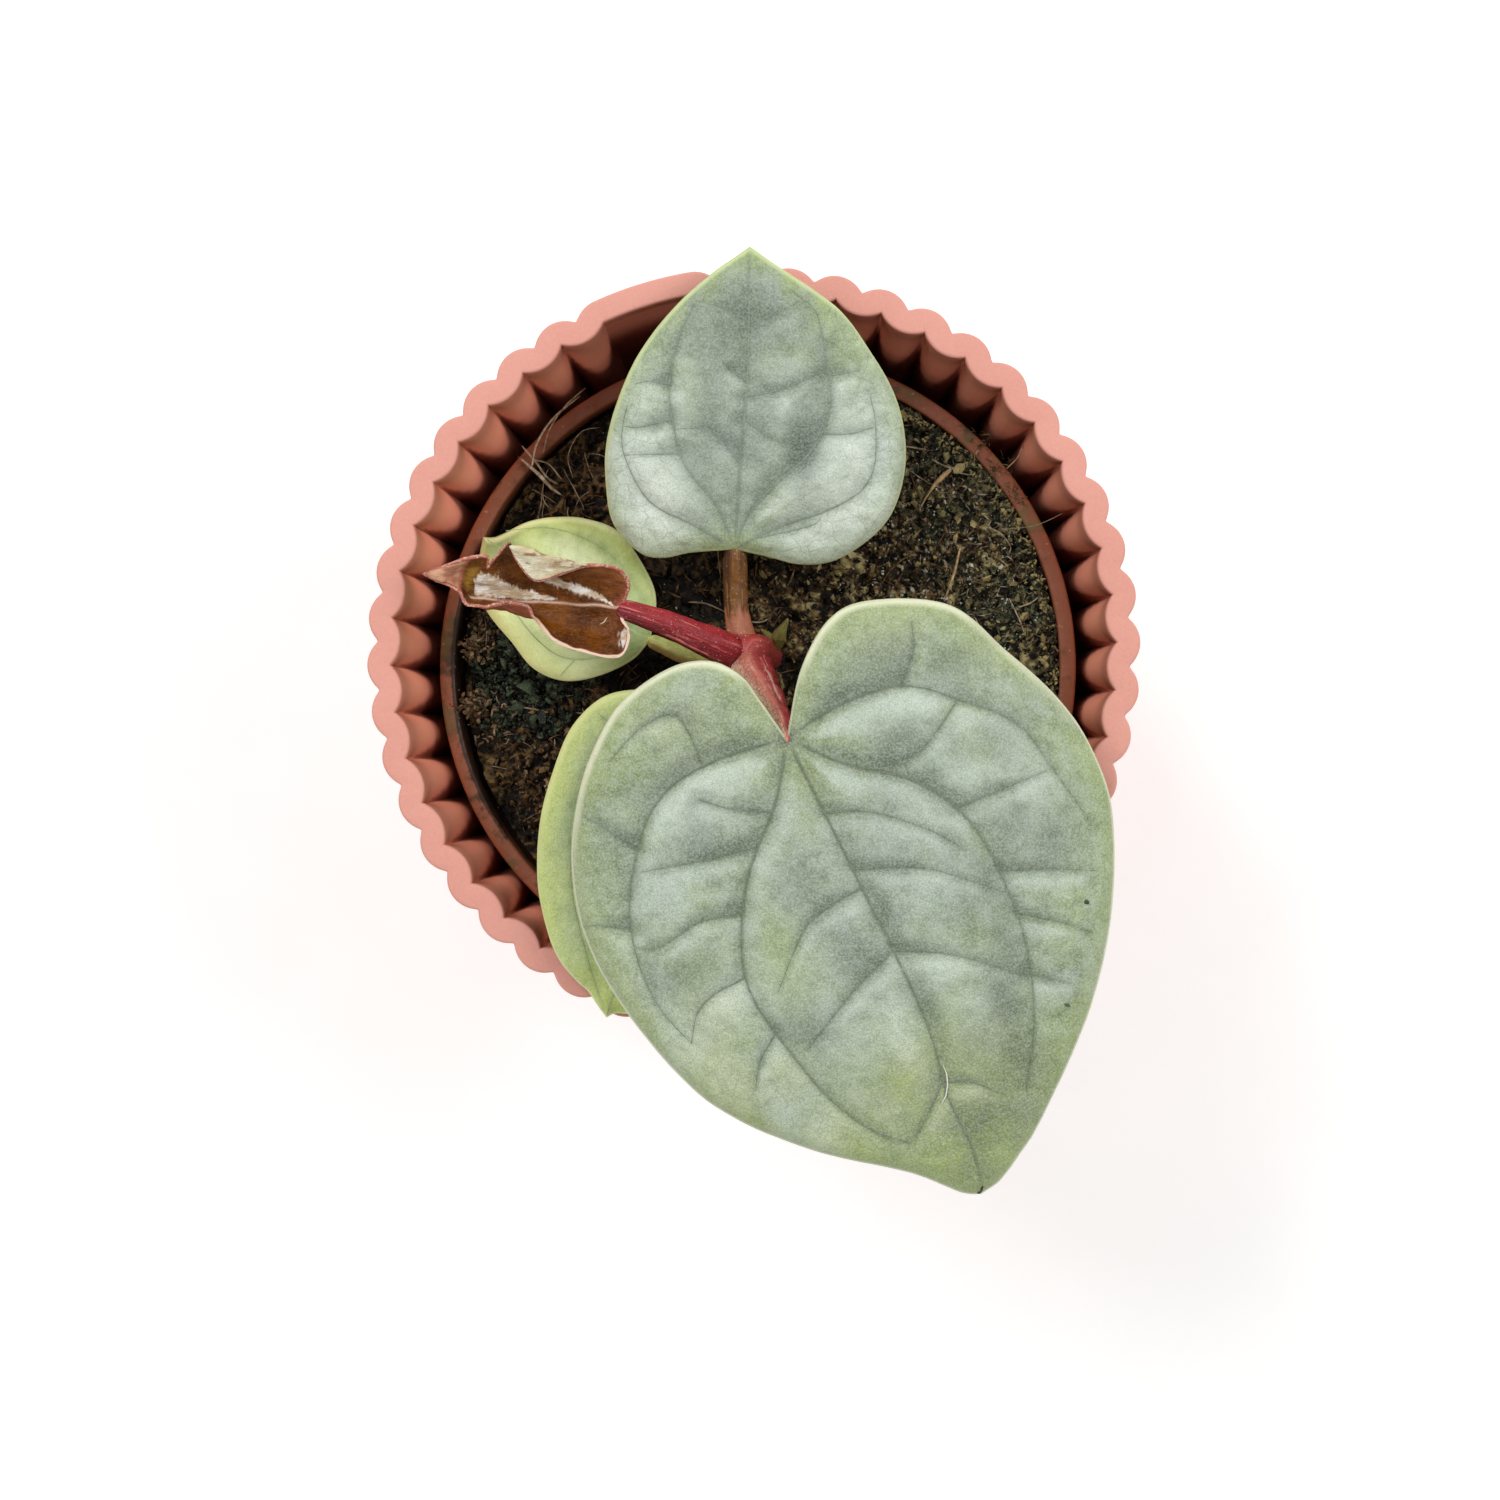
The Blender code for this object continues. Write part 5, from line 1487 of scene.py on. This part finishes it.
# Sections of the curled young leaf from stalk to tip. Across each: far rim, far fold, far wall, midrib,
# near wall, near rim
YOUNG_SECTIONS = [
    [(-11.6, 4.1, 67.5)] * 6,
    [(-11.1, 4.8, 67.8), (-11.3, 4.7, 67.6), (-11.6, 4.5, 67.5), (-11.9, 4.0, 67.4), (-11.7, 3.5, 67.3),
     (-11.5, 3.0, 67.6)],
    [(-10.7, 6.1, 68.6), (-11.0, 6.0, 68.3), (-11.8, 5.2, 67.5), (-12.6, 4.1, 67.2), (-12.1, 2.9, 67.0),
     (-10.7, 1.4, 68.3)],
    [(-11.8, 7.4, 69.4), (-12.2, 7.2, 69.0), (-13.1, 6.0, 67.5), (-13.8, 4.3, 67.0), (-13.1, 2.0, 66.8),
     (-11.7, -0.5, 68.7)],
    [(-14.5, 7.4, 69.5), (-14.5, 7.6, 69.6), (-15.0, 6.4, 67.8), (-15.3, 4.3, 66.9), (-15.1, 2.2, 66.7),
     (-14.9, 0.0, 68.5)],
    [(-16.7, 6.7, 69.6), (-16.6, 8.0, 70.3), (-16.9, 6.6, 68.2), (-17.1, 4.5, 66.9), (-17.3, 2.9, 66.9),
     (-17.5, 1.0, 68.3)],
    [(-18.6, 6.1, 69.8), (-18.5, 8.5, 70.9), (-18.8, 6.8, 67.9), (-18.9, 4.6, 66.9), (-19.1, 3.3, 66.9),
     (-19.2, 3.1, 68.4)],
    [(-19.6, 6.6, 70.1), (-19.5, 8.9, 71.1), (-19.8, 7.0, 68.1), (-19.8, 4.6, 66.9), (-19.9, 3.2, 67.0),
     (-19.8, 4.1, 68.6)],
    [(-20.7, 8.2, 70.9), (-20.8, 9.1, 71.3), (-21.1, 7.6, 68.8), (-21.5, 4.7, 66.9), (-21.5, 3.7, 67.4),
     (-21.3, 4.5, 68.7)],
    [(-21.2, 9.4, 71.0), (-21.3, 9.2, 70.9), (-21.9, 7.7, 68.8), (-22.3, 4.7, 66.9), (-22.3, 3.9, 67.6),
     (-22.1, 4.4, 68.7)],
    [(-22.8, 8.1, 69.5), (-22.8, 8.0, 69.3), (-23.1, 7.2, 68.4), (-23.9, 4.9, 66.9), (-23.9, 4.1, 67.6),
     (-23.9, 4.1, 68.5)],
    [(-23.2, 7.6, 69.0), (-23.3, 7.5, 68.8), (-23.8, 6.9, 68.2), (-24.6, 4.9, 66.9), (-24.6, 4.2, 67.6),
     (-24.8, 4.1, 68.4)],
    [(-23.1, 8.5, 69.7), (-23.5, 8.1, 69.2), (-24.4, 7.0, 68.2), (-25.2, 5.1, 67.0), (-25.3, 4.5, 67.6),
     (-25.5, 4.4, 68.4)],
    [(-24.8, 8.4, 69.7), (-25.1, 8.1, 69.3), (-25.7, 7.2, 68.3), (-26.0, 6.1, 67.8), (-25.9, 5.6, 68.1),
     (-25.9, 5.3, 68.6)],
    [(-27.0, 7.7, 69.4), (-27.2, 7.4, 69.4), (-27.4, 7.0, 69.4), (-27.5, 6.6, 69.3), (-27.4, 6.3, 69.1),
     (-27.4, 6.1, 68.9)],
    [(-29.1, 6.9, 68.8)] * 6,
]
YOUNG_MIDRIB = 3
# Silver bands on its inside: strength, then section, line across (2 far wall, 3 midrib) and half width
YOUNG_BANDS = [
    (0.72, [(1.2, 2.9, 0.05), (2.4, 2.7, 0.13), (3.4, 2.52, 0.19), (4.3, 2.36, 0.23), (5.2, 2.16, 0.22),
            (6.0, 2.0, 0.14)]),
    (1.0, [(5.2, 2.84, 0.08), (6.5, 2.76, 0.16), (7.5, 2.74, 0.19), (8.5, 2.7, 0.24), (9.4, 2.6, 0.32),
           (10.4, 2.42, 0.48), (11.2, 2.24, 0.6), (11.9, 2.1, 0.5)]),
]


def make_young_leaf(upper, under):
    """The curled young leaf: its sections are joined into two thin faces that meet in a rounded rim."""
    spans, steps = 20, 12
    sections = np.array([curve(mm(section), spans) for section in YOUNG_SECTIONS])
    placed = curve(sections.reshape(len(sections), -1), steps)
    placed = placed.reshape(len(placed), -1, 3)
    rows, columns = placed.shape[0] - 1, placed.shape[1] - 1
    wrinkle = rough(placed.reshape(-1, 3), 0.0013, 3, 9.0).reshape(rows + 1, columns + 1)
    normal = np.cross(np.gradient(placed, axis=0), np.gradient(placed, axis=1))
    normal /= np.linalg.norm(normal, axis=2)[..., None] + 1e-12
    if normal[rows // 3, YOUNG_MIDRIB * spans, 2] < 0:
        normal = -normal
    stretch = np.linalg.norm(np.diff(placed, axis=1), axis=2)
    walked = np.concatenate([np.zeros((rows + 1, 1)), np.cumsum(stretch, axis=1)], axis=1)
    to_ends = np.minimum(np.arange(rows + 1), rows - np.arange(rows + 1))[:, None] * 0.00008
    margin = np.minimum(np.minimum(walked, walked[:, -1:] - walked), to_ends)
    edge = rounded(margin, 0.00022)
    section, line = np.meshgrid(np.arange(rows + 1) / steps, np.arange(columns + 1) / spans, indexing="ij")
    flush = 0.8 * np.exp(-(((section - 2.2) / 0.55) ** 2) - ((line - 4.75) / 0.22) ** 2)
    for strength, band in YOUNG_BANDS:
        at, middle, half = np.array(band).T
        ends = smooth_step(section, at[0] - 0.4, at[0] + 0.5)
        ends = ends * (1 - smooth_step(section, at[-1] - 0.7, at[-1] + 0.4))
        away = (line - np.interp(section, at, middle)) / np.interp(section, at, half)
        flush = np.maximum(flush, strength * ends * np.exp(-(away**2)))
    from_rib = np.abs(walked - walked[:, YOUNG_MIDRIB * spans][:, None])
    far_wall = smooth_step(line, 1.2, 1.8) * (1 - smooth_step(line, 2.5, 3.0))
    values = {
        "margin": margin,
        "vein": bump_of(from_rib, 0.00011) * (1 - smooth_step(section, 11.5, 12.3)),
        "flush": flush,
        "olive": bump_of(section - 12.35, 0.50) * far_wall,
        "blush": 0.7 * bump_of(section, 1.3),
        "pale": smooth_step(section, 12.95, 13.1),
        "fold": bump_of(section - 12.95, 0.10),
        "lobe": (1 - smooth_step(section, 3.0, 5.0)) * (1 - smooth_step(line, 1.0, 2.3)),
        "near": smooth_step(line, 3.5, 4.5) * (1 - smooth_step(section, 5.0, 6.5)),
    }
    faces = []
    for finish, side in ((upper, 1), (under, -1)):
        shell = placed + normal * (side * 0.00014 * edge + 0.00016 * wrinkle * edge)[..., None]

        def shape(u, v):
            return shell[np.rint(v * rows).astype(int), np.rint(u * columns).astype(int)]

        faces.append(grid_piece(columns, rows, shape, finish))
        store(faces[-1], **values)
    return finished(join_and_merge(faces, MERGE), "leaf_new_blade", "leaf_new", 60)


def make_specks():
    """Two dark specks, a dried tip and a white hair on the large leaf, and a hair on the young one."""
    blade = Blade("leaf_front", 60)

    def on_leaf(along, across):
        spots = mm([(along, across)])
        fields, relief = blade.fields(spots)
        return blade.placed(spots, fields["margin"], relief)[0]

    places = [(*on_leaf(23.1, 18.1), 0.00028, 0.2), (*on_leaf(30.7, 13.2), 0.00022, 0.3)]
    places += [(*on_leaf(42.85 + 0.12 * k, 0.3 - 0.16 * k), 0.00015, 0.0) for k in range(4)]
    dark = fibre_finish("dried speck", (92, 102, 84), (50, 56, 40))
    many_grains("leaf_specks", places, dark, 3, 60, subdivisions=2)
    spots = (31.2, 1.3), (32.0, 1.3), (33.0, 1.0), (33.8, 0.5), (34.3, -0.1)
    hair = [on_leaf(*spot) + (0, 0, 0.00012) for spot in spots]
    nick = mm([(-13.5, 2.5, 67.2), (-13.1, 2.7, 67.4), (-12.8, 3.1, 67.6)])
    white = fibre_finish("white hair", (246, 246, 236), (226, 222, 206))
    many_tubes("white_hairs", [(hair, 0.00006, 1.0), (nick, 0.00005, 1.0)], white, 5)


def make_leaves():
    # Colours: green, silver, cool, fresh, edge, vein, brightest. Then the strength of the grain and of the
    # drawn veins, the edge's width, and the strength of the fine net
    silver = leaf_finish("silver leaf", (126, 144, 92), (152, 168, 143), (144, 154, 149), (158, 176, 84),
                         (230, 232, 198), (70, 84, 60), (206, 220, 206), 1.15, 0.68, 0.0007, 0.20)
    mint = leaf_finish("mint leaf", (144, 162, 130), (180, 194, 175), (166, 178, 173), (166, 188, 92),
                       (208, 220, 158), (90, 104, 88), (230, 240, 226), 1.0, 0.50, 0.0005, 0.26)
    lime = leaf_finish("lime leaf", (190, 208, 112), (202, 224, 172), (180, 206, 134), (224, 238, 118),
                       (236, 244, 178), (120, 144, 76), (248, 254, 196), 0.5, 0.18, 0.0007, 0.06)
    side = leaf_finish("side leaf", (172, 192, 98), (192, 212, 170), (174, 198, 146), (208, 222, 100),
                       (226, 232, 160), (104, 124, 70), (210, 224, 180), 0.95, 0.40, 0.0007, 0.14)
    green = under_finish()
    rows, columns = ((330, 100))
    make_blade("leaf_front", rows, columns, silver, green)
    make_blade("leaf_back", rows * 2 // 3, columns * 2 // 3, mint, green)
    make_blade("leaf_side", rows // 2, columns // 2, side, green)
    make_blade("leaf_small", rows // 2, columns // 2, lime, green)
    make_young_leaf(young_finish(), young_under_finish())
    make_specks()


# ---------------------------------------------------------------- floor, light and camera

# Where the two area lights hang, and how bright each is
LIGHTS = {"key": ((-0.30, 0.32, 0.62), 2.35), "second": ((0.44, 0.12, 0.60), 1.85)}
LIGHT_SIZE = 0.28
LIT_POINT = (0, 0, 0.05)
WORLD_STRENGTH = 0.46
FLOOR_DROP = 0.0002

CAMERA_PLACE = (0.0053, -0.0076, COVER_HEIGHT + 0.2164)
CAMERA_LOOK = (-0.0254, -0.0050, -1)
LENS = 57.6
SENSOR = 36.0


def make_stage():
    select()
    bpy.ops.mesh.primitive_plane_add(size=3.0, location=(0, 0, -FLOOR_DROP))
    floor = bpy.context.object
    floor.name = "floor"
    floor.data.materials.append(floor_finish())
    world = bpy.data.worlds.new("studio")
    bpy.context.scene.world = world
    world.use_nodes = True
    background = world.node_tree.nodes["Background"]
    background.inputs["Color"].default_value = (1.0, 1.0, 1.0, 1.0)
    background.inputs["Strength"].default_value = WORLD_STRENGTH
    bpy.context.scene.view_settings.view_transform = "Standard"


def make_lights():
    for name, (location, power) in LIGHTS.items():
        data = bpy.data.lights.new(name, "AREA")
        data.size = LIGHT_SIZE
        data.energy = power
        light = bpy.data.objects.new(name, data)
        light.location = location
        light.rotation_euler = (Vector(LIT_POINT) - Vector(location)).to_track_quat("-Z", "Y").to_euler()
        bpy.context.scene.collection.objects.link(light)


def make_camera():
    """Above the plant and almost straight down, with the back leaf at the top of the picture."""
    data = bpy.data.cameras.new("camera")
    data.lens = LENS
    data.sensor_width = SENSOR
    data.clip_start = 0.01
    camera = bpy.data.objects.new("camera", data)
    camera.location = CAMERA_PLACE
    camera.rotation_mode = "QUATERNION"
    camera.rotation_quaternion = Vector((0, 0, -1)).rotation_difference(Vector(CAMERA_LOOK))
    bpy.context.scene.collection.objects.link(camera)
    bpy.context.scene.camera = camera


make_camera()
make_stage()
make_lights()
make_cover_pot()
make_nursery_pot()
make_soil()
make_crumbs()
make_fibres()
make_moss()
make_litter()
make_stalks()
make_leaves()
